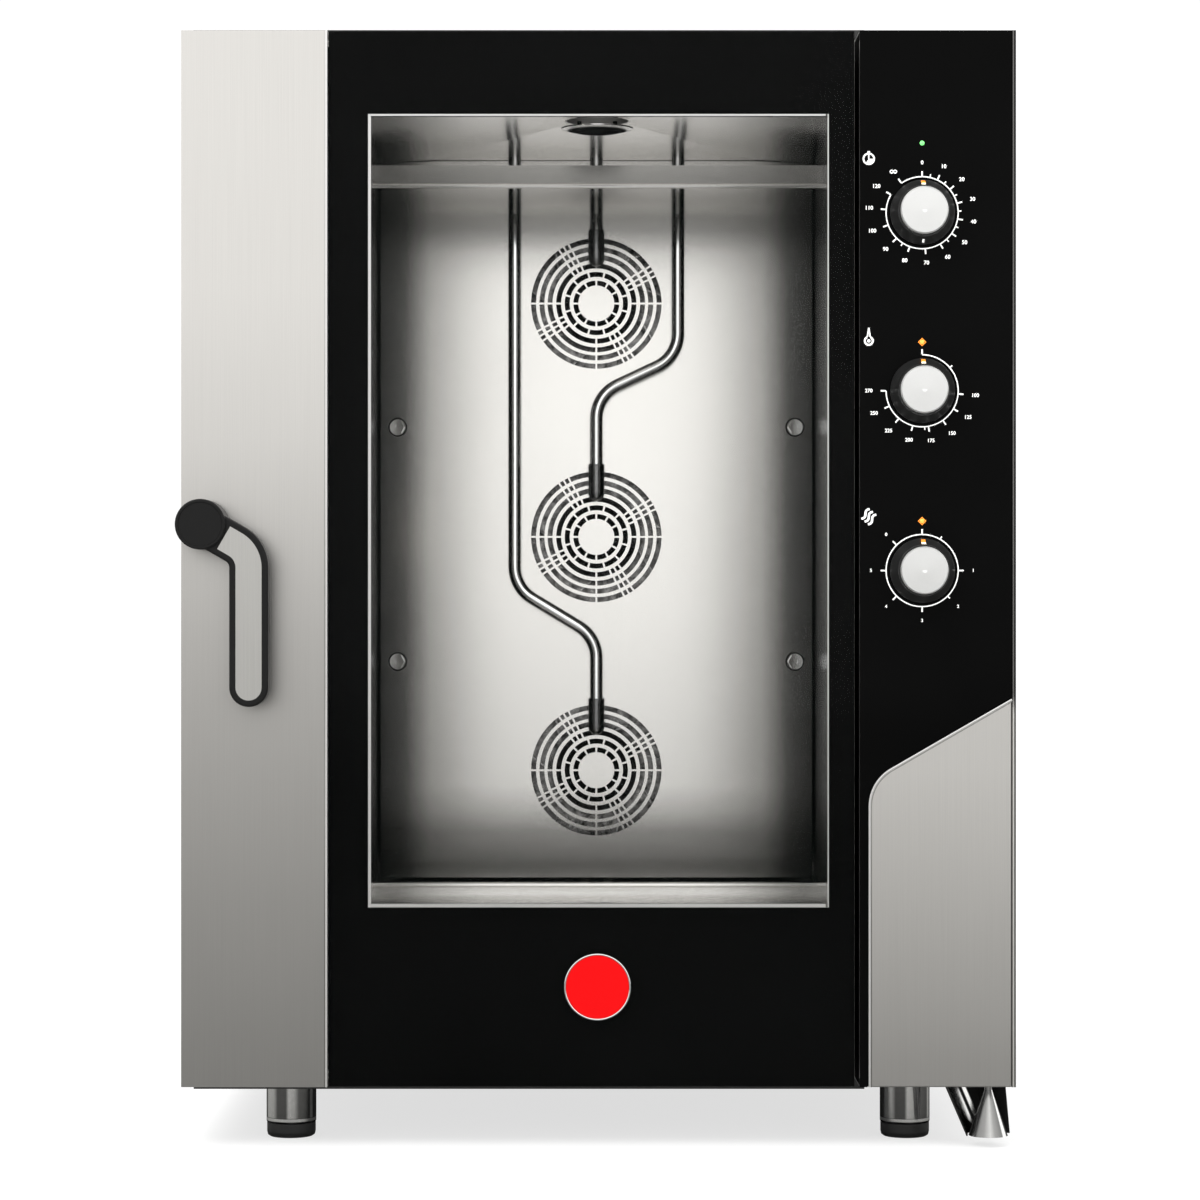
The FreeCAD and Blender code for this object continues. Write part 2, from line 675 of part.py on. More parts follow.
def cavity_lamp():
    """Sealed oven lamp in the left wall: a lens ring inside, the holder outside."""
    def disc(radius, inward0, inward1):
        ends = [V(inward - CAVITY_HALF, LAMP_Y, LAMP_Z) for inward in (inward0, inward1)]
        return cylinder(radius, *ends)
    ring = disc(LAMP_RING, 0, 4)
    lens = disc(LAMP_LENS, 3, 9)
    holder = disc(LAMP_HOLDER, -INSULATION - 12, 1)
    return fuse([ring, lens, holder])


def door_gasket():
    """Rubber seal round the mouth, with rounded corners and a rounded lip."""
    half_in = MOUTH_HALF + 1
    half_out = half_in + GASKET_WIDTH
    z0, z1 = MOUTH_BOTTOM - 1, MOUTH_TOP + 1

    def rounded(half, low, high, radius):
        block = box(-half, half, GASKET_FRONT, FACADE_FRONT, low, high)
        corners = [e for e in block.Edges if e.BoundBox.YLength > 1]
        return block.makeFillet(radius, corners)
    ring = rounded(half_out, z0 - GASKET_WIDTH, z1 + GASKET_WIDTH, 18.0).cut(rounded(half_in, z0, z1, 8.0))
    lip = [e for e in ring.Edges if e.BoundBox.YMax < GASKET_FRONT + 0.01]
    return ring.makeFillet(3.0, lip)


# ------------------------------------------------------------------ fans, heaters, motors

def fan_wheel(height):
    """Radial fan wheel with a hub, back plate, blades, front ring and shaft."""
    y0, y1 = FAN_FRONT, FAN_FRONT + FAN_DEPTH
    nose, barrel = FAN_HUB
    plate = cylinder_y(FAN_RADIUS, 0, height, y1 - 2, y1)
    profile = [(0, y0 + 2), (nose, y0 + 2), (barrel, y0 + 10), (barrel, y1 + 8), (0, y1 + 8)]
    hub = revolve_y(profile, 0, height)
    ring = cylinder_y(FAN_RADIUS, 0, height, y0 + 4, y0 + 6).cut(cylinder_y(FAN_EYE, 0, height, y0, y1))
    shaft = cylinder_y(SHAFT_RADIUS, 0, height, y1, INSULATION_BACK + SHAFT_IN_MOTOR)
    blade = box(-1, 1, y0 + 4, y1 - 1, height + BLADE_ROOT, height + FAN_RADIUS - 2)
    blade.rotate(V(0, 0, height + (BLADE_ROOT + FAN_RADIUS) / 2), V(0, 1, 0), BLADE_LEAN)
    blades = []
    for index in range(FAN_BLADES):
        turned = blade.copy()
        turned.rotate(V(0, 0, height), V(0, 1, 0), index * 360 / FAN_BLADES)
        blades.append(turned)
    return fuse([plate, hub, ring, shaft] + blades)


def heating_elements():
    """A three-turn ring heater round each fan, with two terminals through the back wall."""
    rings = []
    for height in FAN_HEIGHTS:
        centres = [V(0, y, height) for y in HEATER_TURNS]
        turns = [Part.makeTorus(HEATER_RADIUS, HEATER_TUBE, centre, V(0, 1, 0)) for centre in centres]
        ends = heater_terminals(height, HEATER_TUBE, HEATER_TURNS[0], INSULATION_BACK + 12)
        rings.append(fuse(turns + ends))
    return rings


def fan_motors():
    """One motor per fan behind the insulation, with a square mounting flange and end bell."""
    motors = []
    for height in FAN_HEIGHTS:
        y = INSULATION_BACK
        end = y + MOTOR_LENGTH
        half = MOTOR_FLANGE
        flange = box(-half, half, y, y + 4, height - half, height + half)
        body = cylinder_y(MOTOR_RADIUS, 0, height, y + 4, end)
        profile = [(0, end), (MOTOR_RADIUS - 6, end), (MOTOR_RADIUS - 16, end + 12), (0, end + 12)]
        bell = revolve_y(profile, 0, height)
        bore = cylinder_y(SHAFT_RADIUS + RUNNING, 0, height, y - 1, y + SHAFT_IN_MOTOR + 2)
        motors.append(fuse([flange, body, bell]).cut(bore))
    return motors


# ------------------------------------------------------------------ control column

def cover_outline(left, right, y, lift):
    """Top edge of the steel cover, raised by lift: up its left edge, round one tangent arc, up the slope."""
    slope = math.radians(COVER_SLOPE)
    turn = math.pi / 2 - slope
    reach = COVER_RADIUS * math.tan(turn / 2)
    corner = V(left, y, COVER_CORNER_Z + lift)
    start = corner - V(0, 0, reach)
    end = corner + V(math.cos(slope), 0, math.sin(slope)) * reach
    centre = start + V(COVER_RADIUS, 0, 0)
    middle = centre + (corner - centre).normalize() * COVER_RADIUS
    top_right = V(right, y, COVER_CORNER_Z + lift + (right - left) * math.tan(slope))
    return start, middle, end, top_right


def lower_control_cover():
    """Brushed steel cover of the lower column, with returned edges."""
    left, right = COVER_LEFT, PANEL_RIGHT
    start, middle, end, top_right = cover_outline(left, right, 0, 0)
    low_left, low_right = V(left, 0, BOTTOM), V(right, 0, BOTTOM)
    edges = [Part.LineSegment(low_left, start).toShape(), Part.Arc(start, middle, end).toShape(),
             Part.LineSegment(end, top_right).toShape(), Part.LineSegment(top_right, low_right).toShape(),
             Part.LineSegment(low_right, low_left).toShape()]
    block = Part.Face(Part.Wire(edges)).extrude(V(0, PLATE_FRONT, 0))
    rim = [e for e in block.Edges if e.BoundBox.YMax < 0.01]
    block = block.makeFillet(1.2, rim)
    hollow_top = COVER_CORNER_Z - COVER_RADIUS
    hollow = box(left + SHEET, right - SHEET, SHEET, PLATE_FRONT + 1, BOTTOM + SHEET, hollow_top)
    return block.cut(hollow)


def control_panel_glass():
    """Black glass of the column, cut round the steel cover, with knob and lamp holes."""
    right = PANEL_RIGHT
    start, middle, end, top_right = cover_outline(COVER_LEFT - COVER_GAP, right, 0, COVER_GAP)
    corners = [top_right, V(right, 0, TOP), V(COLUMN_LEFT, 0, TOP), V(COLUMN_LEFT, 0, BOTTOM),
               V(COVER_LEFT - COVER_GAP, 0, BOTTOM), start]
    edges = [Part.LineSegment(a, b).toShape() for a, b in zip(corners, corners[1:])]
    edges += [Part.Arc(start, middle, end).toShape(), Part.LineSegment(end, top_right).toShape()]
    pane = Part.Face(Part.Wire(edges)).extrude(V(0, PANEL_THICK, 0))
    holes = []
    for height, rise in zip(KNOB_HEIGHTS, LAMP_RISES):
        holes.append(cylinder_y(KNOB_HOLE, KNOB_X, height, -1, PANEL_THICK + 1))
        holes.append(cylinder_y(LAMP_HOLE, KNOB_X, height + rise, -1, PANEL_THICK + 1))
    return pane.cut(Part.makeCompound(holes))


def control_column_body():
    """Sheet carrier behind the panel: front plate with shaft holes, and the wall beside the door."""
    y = PLATE_FRONT
    holes = [circle_xz(KNOB_HOLE + 1, KNOB_X, height, y) for height in KNOB_HEIGHTS]
    outline = rectangle_xz(COLUMN_LEFT, RIGHT - SHEET, BOTTOM, TOP - SHEET, y)
    plate = plate_y(outline, holes, SHEET)
    wall = box(COLUMN_LEFT, COLUMN_LEFT + SHEET, y, FACADE_BACK, BOTTOM + SHEET, TOP - SHEET)
    return fuse([plate, wall])


def indicator_lamps():
    """Three small lenses through the glass, one above each knob."""
    r = LAMP_RADIUS
    profile = [(0, -1), (r - 1, -0.8), (r, 0), (r, PANEL_THICK), (0, PANEL_THICK)]
    return [revolve_y(profile, KNOB_X, height + rise) for height, rise in zip(KNOB_HEIGHTS, LAMP_RISES)]


def control_switches():
    """Timer, thermostat and steam selector behind the plate, each with a bore for its shaft."""
    y = PLATE_FRONT + SHEET
    half = SWITCH_HALF
    switches = []
    for height, depth in zip(KNOB_HEIGHTS, SWITCH_DEPTHS):
        case = box(KNOB_X - half, KNOB_X + half, y + 3, y + 3 + depth, height - half, height + half)
        nut = cylinder_y(8, KNOB_X, height, y, y + 4)
        tags = []
        for index in range(4):
            x0 = KNOB_X - half + 6 + index * half / 2
            tags.append(box(x0, x0 + 6, y + depth, y + depth + 9, height - 20, height - 18))
        bore = cylinder_y(KNOB_SHAFT + RUNNING, KNOB_X, height, y - 1, y + 24)
        switches.append(fuse([case, nut] + tags).cut(bore))
    return switches


def control_board():
    """Mounting plate in the right compartment with its circuit board, relays and terminal row."""
    x = CAVITY_HALF + SHEET + INSULATION
    plate = box(x, x + 2, 200, 620, 440, 940)
    board = box(x + 8, x + 10, 220, 420, 600, 900)
    posts = [cylinder(3, V(x + 1, py, pz), V(x + 9, py, pz)) for py in (230, 410) for pz in (610, 890)]
    relays = [box(x + 9, x + 30, 235 + 44 * k, 265 + 44 * k, 640, 690) for k in range(4)]
    transformer = box(x + 2, x + 60, 450, 540, 760, 840)
    contactors = [box(x + 2, x + 72, 440 + 58 * k, 488 + 58 * k, 620, 700) for k in range(3)]
    terminals = [box(x + 2, x + 34, 440 + 20 * k, 458 + 20 * k, 470, 510) for k in range(8)]
    return fuse([plate, board, transformer] + posts + relays + contactors + terminals)


def water_inlet_valve():
    """Solenoid valve with its coils, and the threaded inlet through the back panel."""
    x, y, z = VALVE_X, VALVE_Y, VALVE_Z
    body = box(x - 20, x + 20, y - 20, y + 30, z - 20, z + VALVE_TOP)
    coil = box(x - 16, x + 16, y - 62, y - 20, z - 18, z + 20)
    inlet = cylinder_y(INLET_RADIUS, x, z, y + 30, REAR_END)
    flange = cylinder_y(20.0, x, z, BACK, BACK + INLET_FLANGE)
    bore = cylinder_y(INLET_BORE, x, z, y + 40, REAR_END + 1)
    return fuse([body, coil, inlet, flange]).cut(bore)


def cable_gland():
    """Gland for the mains cable in the back panel."""
    x, z = VALVE_X, DRAIN_Z
    nut_end = BACK + 9
    thread = cylinder_y(GLAND_THREAD, x, z, BACK - 14, BACK)
    locknut = cylinder_y(GLAND_NUT - 1, x, z, BACK - SHEET - 5, BACK - SHEET)
    nut = hexagon_y(GLAND_NUT, x, z, BACK, nut_end - BACK)
    dome = revolve_y([(0, nut_end), (17, nut_end), (15, nut_end + 10), (0, nut_end + 10)], x, z)
    return fuse([thread, locknut, nut, dome]).cut(cylinder_y(GLAND_BORE, x, z, BACK - 20, BACK + 30))


def case_screws():
    """Pan-head screws round the back panel and along the lid's rear edge."""
    def head(base):
        return [(0, base)] + [(radius, base + rise) for radius, rise in SCREW_HEAD]
    side = RIGHT - 10
    spots = [(x, z) for x in (-side, side) for z in SCREW_HEIGHTS]
    spots += [(x, z) for x in (-SCREW_SPREAD, 0, SCREW_SPREAD) for z in (BOTTOM + 12, TOP - 14)]
    rear = [revolve_y(head(BACK), x, z) for x, z in spots]
    lid = [revolve_z(head(TOP), x, BACK - 14) for x in LID_SCREW_X]
    return rear + lid


# ------------------------------------------------------------------ hinge, latch and feet

def hinge_bracket(arm_low, plate_low, plate_high, pin_low, pin_high):
    """Bracket on the front frame: a plate, a cranked arm past the door's rim, an eye and its fixed pin."""
    arm_high = arm_low + ARM_THICK
    left, right = BRACKET_SIDES
    face = FACADE_FRONT - BRACKET_PLATE
    plate = box(PIVOT_X - left, PIVOT_X + right, face, FACADE_FRONT, plate_low, plate_high)
    arm_right = PIVOT_X - 1
    arm = box(arm_right - ARM_WIDTH, arm_right, PIVOT_Y, FACADE_FRONT, arm_low, arm_high)
    eye = cylinder_z(EYE_RADIUS, PIVOT_X, PIVOT_Y, arm_low, arm_high)
    tangent = (PIVOT_X - 3, PIVOT_Y - 5.2)
    web = prism_z([(arm_right - ARM_WIDTH, PIVOT_Y), tangent, (PIVOT_X, PIVOT_Y)], arm_low, arm_high)
    pin = cylinder_z(PIN_RADIUS, PIVOT_X, PIVOT_Y, pin_low, pin_high)
    return fuse([plate, arm, eye, web, pin])


def hinge_brackets():
    """Upper and lower door brackets."""
    down, up = BRACKET_HEIGHTS
    upper = TOP - DOOR_RIM + 2
    lower = BOTTOM + DOOR_RIM - 2 - ARM_THICK
    seat = lower + ARM_THICK
    return [hinge_bracket(upper, upper - down, upper + ARM_THICK, upper - PIN_LENGTH, upper),
            hinge_bracket(lower, lower, lower + up, seat, seat + PIN_LENGTH)]


def latch_keeper():
    """Strike behind the front frame's slot, with a bar just below the hook's tip."""
    y = FACADE_BACK
    wall = KEEPER_SIDE
    x0, x1 = HANDLE_X - LATCH_SLOT[0] - wall, HANDLE_X + LATCH_SLOT[1] + wall
    z0, z1 = [HANDLE_Z - drop for drop in KEEPER_HEIGHTS]
    plate = box(x0, x1, y, y + wall, z0, z1)
    cheeks = [box(x, x + wall, y, y + KEEPER_DEPTH, z0, z1) for x in (x0, x1 - wall)]
    middle_y = y + KEEPER_DEPTH / 2
    bar = cylinder(KEEPER_BAR, V(x0, middle_y, z1 - 5), V(x1, middle_y, z1 - 5))
    return fuse([plate, bar] + cheeks)


def foot_places():
    """Plan positions of the four feet, with their names."""
    return {"foot_front_left": (-FOOT_X, FOOT_FRONT_Y), "foot_front_right": (FOOT_X, FOOT_FRONT_Y),
            "foot_rear_left": (-FOOT_X, FOOT_REAR_Y), "foot_rear_right": (FOOT_X, FOOT_REAR_Y)}


def foot_sleeves():
    """Four steel sleeves under the case, bored for the adjusting stems."""
    sleeves = []
    for x, y in foot_places().values():
        profile = [(0, SLEEVE_BOTTOM), (FOOT_RADIUS - 0.8, SLEEVE_BOTTOM), (FOOT_RADIUS, SLEEVE_BOTTOM + 1),
                   (FOOT_RADIUS, BOTTOM), (0, BOTTOM)]
        bore = cylinder_z(STEM_RADIUS + RUNNING, x, y, 0, BOTTOM - 4)
        sleeves.append(revolve_z(profile, x, y).cut(bore))
    return sleeves


def foot_tip(x, y):
    """Black levelling tip on its stem."""
    r = FOOT_RADIUS - 0.6
    stem_top = BOTTOM - 8
    profile = [(0, 0), (r - 3, 0), (r - 0.8, 1.6), (r, 5), (r, FOOT_TIP), (STEM_RADIUS, FOOT_TIP),
               (STEM_RADIUS, stem_top), (0, stem_top)]
    return revolve_z(profile, x, y)


def drip_cone():
    """Brushed conical drip nozzle under the control column."""
    wide, narrow = CONE_RADII
    mouth = V(CONE_X, CONE_Y, CONE_BOTTOM)
    rise = BOTTOM - CONE_BOTTOM - 6
    cone = Part.makeCone(wide, narrow, rise, mouth, V(0, 0, 1))
    stem = cylinder_z(narrow, CONE_X, CONE_Y, BOTTOM - 8, BOTTOM)
    bore = Part.makeCone(wide - 2, narrow - 1.5, rise - 2, mouth - V(0, 0, 0.1), V(0, 0, 1))
    return fuse([cone, stem]).cut(bore)


def drip_cowl():
    """Polished folded cowl round the back of the drip nozzle, hung under the column."""
    def band(points, z):
        inner = [(x + (CONE_X - x) * COWL_TAPER, y - COWL_THICK) for x, y in points]
        corners = [V(x, y, z) for x, y in points] + [V(x, y, z) for x, y in reversed(inner)]
        return Part.makePolygon(corners + corners[:1])
    return Part.makeLoft([band(COWL_MOUTH, CONE_BOTTOM), band(COWL_TOP, BOTTOM)], True, True)


# ------------------------------------------------------------------ door

def frame_outline(x0, x1, back, chamfer):
    """Plan outline of the door's inner frame, chamfered at the rear corner beside the hinge."""
    dx, dy = chamfer
    front = GLASS_THICK + MASK_THICK
    return [(x0, front), (x1, front), (x1, back - dy), (x1 - dx, back), (x0, back)]


def door_frame():
    """Folded inner frame of the door: outer walls, back skin, window tunnel, hinge and handle blocks."""
    x0, x1 = LEFT + FRAME_LEFT, DOOR_RIGHT - FRAME_SETBACK
    z0, z1 = BOTTOM + DOOR_RIM, TOP - DOOR_RIM
    front, back = GLASS_THICK + MASK_THICK, DOOR_THICK
    outer = prism_z(frame_outline(x0, x1, back, FRAME_CHAMFER), z0, z1)
    inside = frame_outline(x0 + SHEET, x1 - SHEET, back - SHEET, FRAME_CHAMFER)
    hollow = prism_z(inside, z0 + SHEET, z1 - SHEET)

    def around_window(grow, y0, y1):
        half = TUNNEL_HALF + grow
        return box(-half, half, y0, y1, WINDOW_BOTTOM - grow, TUNNEL_TOP + grow)
    seat = INNER_GLASS_LAP + SEAT_WALL
    folds = [around_window(SHEET, front, INNER_GLASS_FRONT),
             around_window(seat, INNER_GLASS_FRONT - SHEET, back)]
    block_height, socket = 28.0, 27.0
    block_left, block_back = PIVOT_X - 12, 26.0
    blocks = []
    for low in (z0, z1 - block_height):
        blocks.append(box(block_left, x1 - SHEET, front, block_back, low, low + block_height))
    bearing = cylinder_y(BEARING_RADIUS, HANDLE_X, HANDLE_Z, 3, back)
    whole = fuse([outer.cut(hollow), bearing] + folds + blocks)
    past = 5.0
    cuts = [around_window(0, 0, back + past), around_window(INNER_GLASS_LAP, INNER_GLASS_FRONT, back - SHEET)]
    for low, high in ((z0 - past, z0 + socket), (z1 - socket, z1 + past)):
        cuts.append(cylinder_z(PIN_RADIUS + RUNNING, PIVOT_X, PIVOT_Y, low, high))
    cuts.append(cylinder_y(SPINDLE_RADIUS + RUNNING, HANDLE_X, HANDLE_Z, 0, back + past))
    for cutter in cuts:
        whole = whole.cut(cutter)
    return whole


def door_side_strip():
    """Brushed steel strip that carries the handle, folded back at its edges."""
    x0, x1 = LEFT, LEFT + STRIP_WIDTH
    back = DOOR_THICK - STRIP_SETBACK
    front = box(x0, x1, 0, SHEET, BOTTOM, TOP)
    left = box(x0, x0 + SHEET, 0, back, BOTTOM, TOP)
    right = box(x1 - SHEET, x1, 0, GLASS_THICK, BOTTOM, TOP)
    caps = [box(x0, x1, 0, back, low, low + SHEET) for low in (BOTTOM, TOP - SHEET)]
    strip = fuse([front, left, right] + caps)
    edge = [e for e in strip.Edges if e.BoundBox.YMax < 0.01 and e.BoundBox.XLength < 0.01]
    strip = strip.makeFillet(1.0, edge)
    return strip.cut(cylinder_y(SPINDLE_RADIUS + 1.5, HANDLE_X, HANDLE_Z, -SHEET, 2 * SHEET))


def outer_glass():
    """Outer pane of the door."""
    pane = box(GLASS_LEFT, DOOR_RIGHT, 0, GLASS_THICK, BOTTOM, TOP)
    rim = [e for e in pane.Edges if e.BoundBox.YMax < 0.01]
    return pane.makeChamfer(0.8, rim)


def glass_mask():
    """Black enamel layer behind the outer pane, open at the window."""
    y = GLASS_THICK
    outline = rectangle_xz(GLASS_LEFT, DOOR_RIGHT, BOTTOM, TOP, y)
    window = rectangle_xz(-WINDOW_HALF, WINDOW_HALF, WINDOW_BOTTOM, WINDOW_TOP, y)
    return plate_y(outline, [window], MASK_THICK)


def inner_glass():
    """Inner pane, seated in the back of the door frame."""
    lap = INNER_GLASS_LAP - 1
    half = TUNNEL_HALF + lap
    y = INNER_GLASS_FRONT
    return box(-half, half, y, y + INNER_GLASS_THICK, WINDOW_BOTTOM - lap, TUNNEL_TOP + lap)


def badge():
    """Plain round badge on the lower part of the glass."""
    r = BADGE_RADIUS
    x, z = BADGE_CENTRE
    return revolve_y([(0, -1.2), (r - 2, -1.2), (r, -0.6), (r, 0), (0, 0)], x, z)


def bent_bar(width, y0, y1, reach_back):
    """Handle bar outline: from the hub down a slope, round one bend and straight down to a round end."""
    half = width / 2
    slope = math.radians(GRIP_SLOPE)
    along = V(math.cos(slope), 0, -math.sin(slope))
    across = V(math.sin(slope), 0, math.cos(slope))
    hub = V(HANDLE_X, y0, HANDLE_Z) + along * reach_back
    corner = V(GRIP_X, y0, HANDLE_Z - (GRIP_X - HANDLE_X) * math.tan(slope))
    reach = GRIP_BEND * math.tan((math.pi / 2 - slope) / 2)
    bend_in = corner - along * reach
    bend_out = corner - V(0, 0, reach)
    centre = bend_in - across * GRIP_BEND
    outward = (corner - centre).normalize()
    end = V(GRIP_X, y0, GRIP_END_Z)

    def side(shift):
        """Hub end, bend and lower end of one side of the bar, shifted from its middle line."""
        to_right = V(shift, 0, 0)
        top, bend = hub + across * shift, bend_in + across * shift
        crown, leave = centre + outward * (GRIP_BEND + shift), bend_out + to_right
        return top, bend, crown, leave, end + to_right
    top, bend, crown, leave, foot = side(half)
    low_top, low_bend, low_crown, low_leave, low_foot = side(-half)
    curves = [Part.LineSegment(top, bend), Part.Arc(bend, crown, leave), Part.LineSegment(leave, foot),
              Part.Arc(foot, end - V(0, 0, half), low_foot), Part.LineSegment(low_foot, low_leave),
              Part.Arc(low_leave, low_crown, low_bend), Part.LineSegment(low_bend, low_top),
              Part.LineSegment(low_top, top)]
    outline = Part.Wire([curve.toShape() for curve in curves])
    return Part.Face(outline).extrude(V(0, y1 - y0, 0))


def handle_grip():
    """Moulded handle: round hub and bent grip, with a pocket for the steel inlay."""
    bar = bent_bar(GRIP_WIDTH, GRIP_FRONT, GRIP_BACK, 0)
    edges = [e for e in bar.Edges if e.BoundBox.YLength < 0.01 and e.BoundBox.YMax < GRIP_FRONT + 0.01]
    soft = bar.makeFillet(GRIP_ROUND, edges)
    r = HUB_RADIUS
    dish, back = HUB_FRONT + 0.8, -3.0
    hub_profile = [(0, dish), (r - 3.6, dish), (r - 3.0, HUB_FRONT), (r - 1.2, HUB_FRONT),
                   (r, HUB_FRONT + 1.2), (r, back - 9), (r - 5, back), (0, back)]
    hub = revolve_y(hub_profile, HANDLE_X, HANDLE_Z)
    pocket = bent_bar(INLAY_WIDTH, GRIP_FRONT - 1, GRIP_FRONT + INLAY_DEPTH, INLAY_START)
    bore = cylinder_y(SPINDLE_RADIUS, HANDLE_X, HANDLE_Z, SPINDLE_ENDS[0], 0)
    return fuse([soft, hub]).cut(pocket).cut(bore)


def handle_inlay():
    """Brushed steel inlay in the grip's front."""
    return bent_bar(INLAY_WIDTH, GRIP_FRONT + 0.3, GRIP_FRONT + INLAY_DEPTH, INLAY_START)


def handle_spindle():
    """Spindle from the handle through the door to the latch hook."""
    return cylinder_y(SPINDLE_RADIUS, HANDLE_X, HANDLE_Z, *SPINDLE_ENDS)


def latch_hook():
    """Hook plate on the spindle's inner end."""
    y1 = SPINDLE_ENDS[1]
    y0 = y1 - HOOK_THICK
    boss = cylinder_y(HOOK_BOSS, HANDLE_X, HANDLE_Z, y0, y1)
    tongue = box(HANDLE_X - HOOK_HALF, HANDLE_X + HOOK_HALF, y0, y1, HANDLE_Z - HOOK_REACH, HANDLE_Z)
    bore = cylinder_y(SPINDLE_RADIUS, HANDLE_X, HANDLE_Z, y0 - 1, y1 + 1)
    return fuse([boss, tongue]).cut(bore)


# ------------------------------------------------------------------ knobs

def knob_skirt(height):
    """Black turned skirt with its shaft."""
    r = SKIRT_RADIUS
    profile = [(0, -1.5), (r - 1.5, -1.5), (r, -3), (r, -6.5), (r - 1.5, -9.5), (r - 6.5, -18.5),
               (r - 7.2, SKIRT_FRONT), (0, SKIRT_FRONT)]
    shaft = cylinder_y(KNOB_SHAFT, KNOB_X, height, -3, KNOB_SHAFT_END)
    return fuse([revolve_y(profile, KNOB_X, height), shaft])


def knob_cap(height):
    """Satin metal cap on the skirt."""
    r = CAP_RADIUS
    front = SKIRT_FRONT - 6.8
    profile = [(0, SKIRT_FRONT), (r, SKIRT_FRONT), (r, front + 1.8), (r - 1.2, front + 0.4), (0, front)]
    return revolve_y(profile, KNOB_X, height)


# ------------------------------------------------------------------ build

def build():
    os.makedirs("parts", exist_ok=True)
    save("base_tray", base_tray())
    save("left_side_panel", left_side_panel())
    save("right_side_panel", right_side_panel())
    save("top_cover", top_cover())
    save("back_panel", back_panel())
    save("front_facade", front_facade())
    save("cavity_liner", cavity_liner())
    save("insulation", insulation())
    save("fan_deflector", fan_deflector())
    save("deflector_screws", *deflector_screws())
    save("cross_rails", *cross_rails())
    for name, points in STEAM_PIPES.items():
        save(name, steam_pipe(points))
    save("pipe_nozzles", *pipe_nozzles())
    save("steam_manifold", steam_manifold())
    save("vent_disc", vent_disc())
    save("exhaust_chimney", exhaust_chimney())
    save("drain_pipe", drain_pipe())
    save("cavity_lamp", cavity_lamp())
    save("door_gasket", door_gasket())
    save("heating_elements", *heating_elements())
    save("fan_motors", *fan_motors())
    for name, height in zip(FAN_NAMES, FAN_HEIGHTS):
        save(name + "_fan_wheel", fan_wheel(height))
    save("lower_control_cover", lower_control_cover())
    save("control_panel_glass", control_panel_glass())
    save("control_column_body", control_column_body())
    save("indicator_lamps", *indicator_lamps())
    save("control_switches", *control_switches())
    save("control_board", control_board())
    save("water_inlet_valve", water_inlet_valve())
    save("cable_gland", cable_gland())
    save("case_screws", *case_screws())
    save("hinge_brackets", *hinge_brackets())
    save("latch_keeper", latch_keeper())
    save("foot_sleeves", *foot_sleeves())
    for name, (x, y) in foot_places().items():
        save(name + "_tip", foot_tip(x, y))
    save("drip_cone", drip_cone())
    save("drip_cowl", drip_cowl())
    save("door_frame", door_frame())
    save("door_side_strip", door_side_strip())
    save("outer_glass", outer_glass())
    save("glass_mask", glass_mask())
    save("inner_glass", inner_glass())
    save("badge", badge())
    save("handle_grip", handle_grip())
    save("handle_inlay", handle_inlay())
    save("handle_spindle", handle_spindle())
    save("latch_hook", latch_hook())
    for name, height in zip(KNOB_NAMES, KNOB_HEIGHTS):
        save(name + "_knob_skirt", knob_skirt(height))
        save(name + "_knob_cap", knob_cap(height))


if __name__ == "__main__":
    build()
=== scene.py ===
import math

import bmesh
import bpy
from mathutils import Matrix, Vector


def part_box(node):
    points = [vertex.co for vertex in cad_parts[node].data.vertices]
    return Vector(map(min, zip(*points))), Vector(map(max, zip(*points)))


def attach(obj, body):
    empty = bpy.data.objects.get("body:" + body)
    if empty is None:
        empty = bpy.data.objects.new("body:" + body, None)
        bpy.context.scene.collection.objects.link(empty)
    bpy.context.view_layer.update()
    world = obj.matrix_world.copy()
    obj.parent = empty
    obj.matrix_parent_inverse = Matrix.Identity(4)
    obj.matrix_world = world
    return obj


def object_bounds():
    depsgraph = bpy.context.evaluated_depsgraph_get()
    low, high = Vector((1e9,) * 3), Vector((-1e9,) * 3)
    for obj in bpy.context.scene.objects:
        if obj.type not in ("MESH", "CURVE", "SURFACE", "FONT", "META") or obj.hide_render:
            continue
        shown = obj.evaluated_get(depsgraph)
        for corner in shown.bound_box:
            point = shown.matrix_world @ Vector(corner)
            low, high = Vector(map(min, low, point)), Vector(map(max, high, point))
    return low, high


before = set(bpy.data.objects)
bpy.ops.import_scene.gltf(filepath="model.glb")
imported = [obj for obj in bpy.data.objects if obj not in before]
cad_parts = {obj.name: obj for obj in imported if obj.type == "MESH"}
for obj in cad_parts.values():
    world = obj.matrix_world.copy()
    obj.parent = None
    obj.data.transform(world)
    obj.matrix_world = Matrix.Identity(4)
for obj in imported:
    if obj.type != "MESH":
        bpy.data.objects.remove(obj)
cad_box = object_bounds()

MM = 0.001


# ------------------------------------------------------------------ places taken from the frame

def middle(node):
    """Centre of a CAD node's box."""
    low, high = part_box(node)
    return (low + high) / 2


FLOOR_Z = cad_box[0].z
DOOR_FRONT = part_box("outer_glass")[0].y
PANEL_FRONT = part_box("control_panel_glass")[0].y
BACK_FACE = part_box("back_panel")[1].y
KNOBS = ("timer", "temperature", "steam")
FANS = ("upper", "middle", "lower")
FEET = ("front_left", "front_right", "rear_left", "rear_right")
LAMP_RISE = {"temperature": 49.6 * MM, "steam": 50.4 * MM}
COVER_SLOPE = math.radians(30)
COVER_BEND = 45 * MM


# ------------------------------------------------------------------ materials

def colour_ramp(tree, source, stops):
    """A colour from a list of (position, colour) stops."""
    ramp = tree.nodes.new("ShaderNodeValToRGB")
    elements = ramp.color_ramp.elements
    while len(elements) < len(stops):
        elements.new(0.5)
    for element, (position, colour) in zip(elements, stops):
        element.position = position
        element.color = (*colour, 1)
    tree.links.new(source, ramp.inputs["Fac"])
    return ramp.outputs["Color"]


